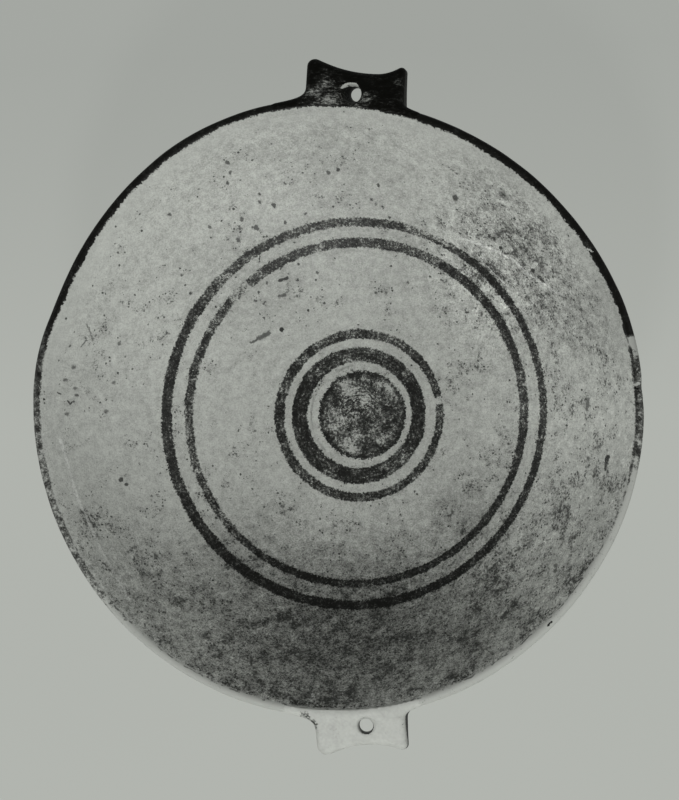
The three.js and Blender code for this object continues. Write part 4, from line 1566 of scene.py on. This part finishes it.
def assemble():
    body = pierced(turned_piece("Thrown_body", body_rows(), body_finish()))
    rest_on_root(body, "bowl_body")
    foot = turned_piece("Ring_foot", foot_rows(), foot_finish(), 256)
    rest_on_root(foot, "foot_ring")
    disc_rows = film_rows(0.0, along_inside(DISC_FILM_RADIUS + FILM_MARGIN))
    disc = turned_piece("Centre_disc", disc_rows, disc_finish())
    rest_on_root(disc, "centre_disc")

    # Each band's name, node, the radii that its film reaches past, and its finish
    bands = (
        ("Broad_band", "broad_band", 17.7, 23.05, broad_finish()),
        ("Narrow_band", "narrow_band", 25.85, 29.07, narrow_finish()),
        ("Inner_pair_band", "pair_inner_band", 55.45, 58.44, inner_pair_finish()),
        ("Outer_pair_band", "pair_outer_band", 62.23, 65.32, outer_pair_finish()),
    )
    for title, node, inner, outer, finish in bands:
        start = along_inside(inner - FILM_MARGIN)
        piece = turned_piece(title, film_rows(start, along_inside(outer + FILM_MARGIN)), finish)
        rest_on_root(piece, node)
    rim_end = along_outside(RIM_HEIGHT - BAND_LAP - RIM_FILM_PAST)
    rim_rows = film_rows(along_inside(RIM_FILM_RADIUS), rim_end, LIP_STEP)
    rim = pierced(turned_piece("Rim_band", rim_rows, rim_finish()))
    rest_on_root(rim, "rim_band")
    lugs = ((far_lug, "far_lug", far_lug_finish), (near_lug, "near_lug", near_lug_finish_with_highlight))
    for lug, node, finish in lugs:
        rest_on_root(lug_piece(lug, finish()), node)


assemble()


# Light and ground
FLOOR_PAINTED_LIGHT = (0.445, 0.463, 0.430)
FLOOR_GREY = (0.378, 0.394, 0.368)
FLOOR_METRES = 6.0
FILL_LIGHT = 0.20
LAMP_METRES_AWAY = 2.4
LAMP_AIM = Vector((0, 0, 0.04))


# The given share where the camera sees a place, also in a gloss, and none where it lights the bowl
def seen_share(w, share):
    light_path = w.node("ShaderNodeLightPath").outputs
    seen = w.math("MAXIMUM", light_path["Is Camera Ray"], light_path["Is Glossy Ray"])
    seen = w.math("MAXIMUM", seen, light_path["Is Transmission Ray"])
    return w.product(seen, share)


def blended(w, share, plain, seen):
    blend = w.node("ShaderNodeMixShader", Fac=share)
    w.plug(blend.inputs[1], plain.outputs[0])
    w.plug(blend.inputs[2], seen.outputs[0])
    return blend.outputs[0]


# The floor is painted paler on the near side, a painted pool of light from the near soft box
def lay_floor():
    material = bpy.data.materials.new("Floor")
    w = emptied(material)
    _, y, _ = w.parts(w.place())
    colour = w.tint(w.spread(y, 125.0, 0.0, 0.0, 1.0), FLOOR_GREY, FLOOR_PAINTED_LIGHT)
    diffuse = w.node("ShaderNodeBsdfDiffuse", Color=colour)
    glow = w.node("ShaderNodeEmission", Color=colour, Strength=1.0)
    surface = blended(w, seen_share(w, 0.9), diffuse, glow)
    w.node("ShaderNodeOutputMaterial", Surface=surface)
    mesh = bpy.data.meshes.new("Floor")
    reach = FLOOR_METRES / 2
    corners = [(-reach, -reach, 0), (reach, -reach, 0), (reach, reach, 0), (-reach, reach, 0)]
    mesh.from_pydata(corners, [], [(0, 1, 2, 3)])
    mesh.materials.append(material)
    floor = placed("Floor", mesh)


# Soft boxes: name, degrees round the bowl and above the table, width in metres and power
SOFT_BOXES = (
    ("Near soft box", -90.0, 40.0, 0.42, 45.0),
    ("Right soft box", 0.0, 25.0, 0.85, 19.6),
    ("Left soft box", 180.0, 25.0, 0.85, 12.3),
)


def light_scene():
    world = bpy.data.worlds.new("Studio")
    w = emptied(world)
    fill = w.node("ShaderNodeBackground", Color=(1.0, 1.0, 1.0), Strength=FILL_LIGHT)
    seen = w.node("ShaderNodeBackground", Color=FLOOR_GREY, Strength=1.0)
    w.node("ShaderNodeOutputWorld", Surface=blended(w, seen_share(w, 1.0), fill, seen))
    scene.world = world
    for title, turn, height, width, power in SOFT_BOXES:
        data = bpy.data.lights.new(title, "AREA")
        data.shape = "DISK"
        data.size = width
        data.energy = power
        lamp = placed(title, data)
        turn, height = math.radians(turn), math.radians(height)
        level = math.cos(height)
        back = Vector((level * math.cos(turn), level * math.sin(turn), math.sin(height)))
        lamp.location = back * LAMP_METRES_AWAY + LAMP_AIM
        lamp.rotation_euler = back.to_track_quat("Z", "Y").to_euler()


lay_floor()
light_scene()
scene.view_settings.view_transform = "Standard"
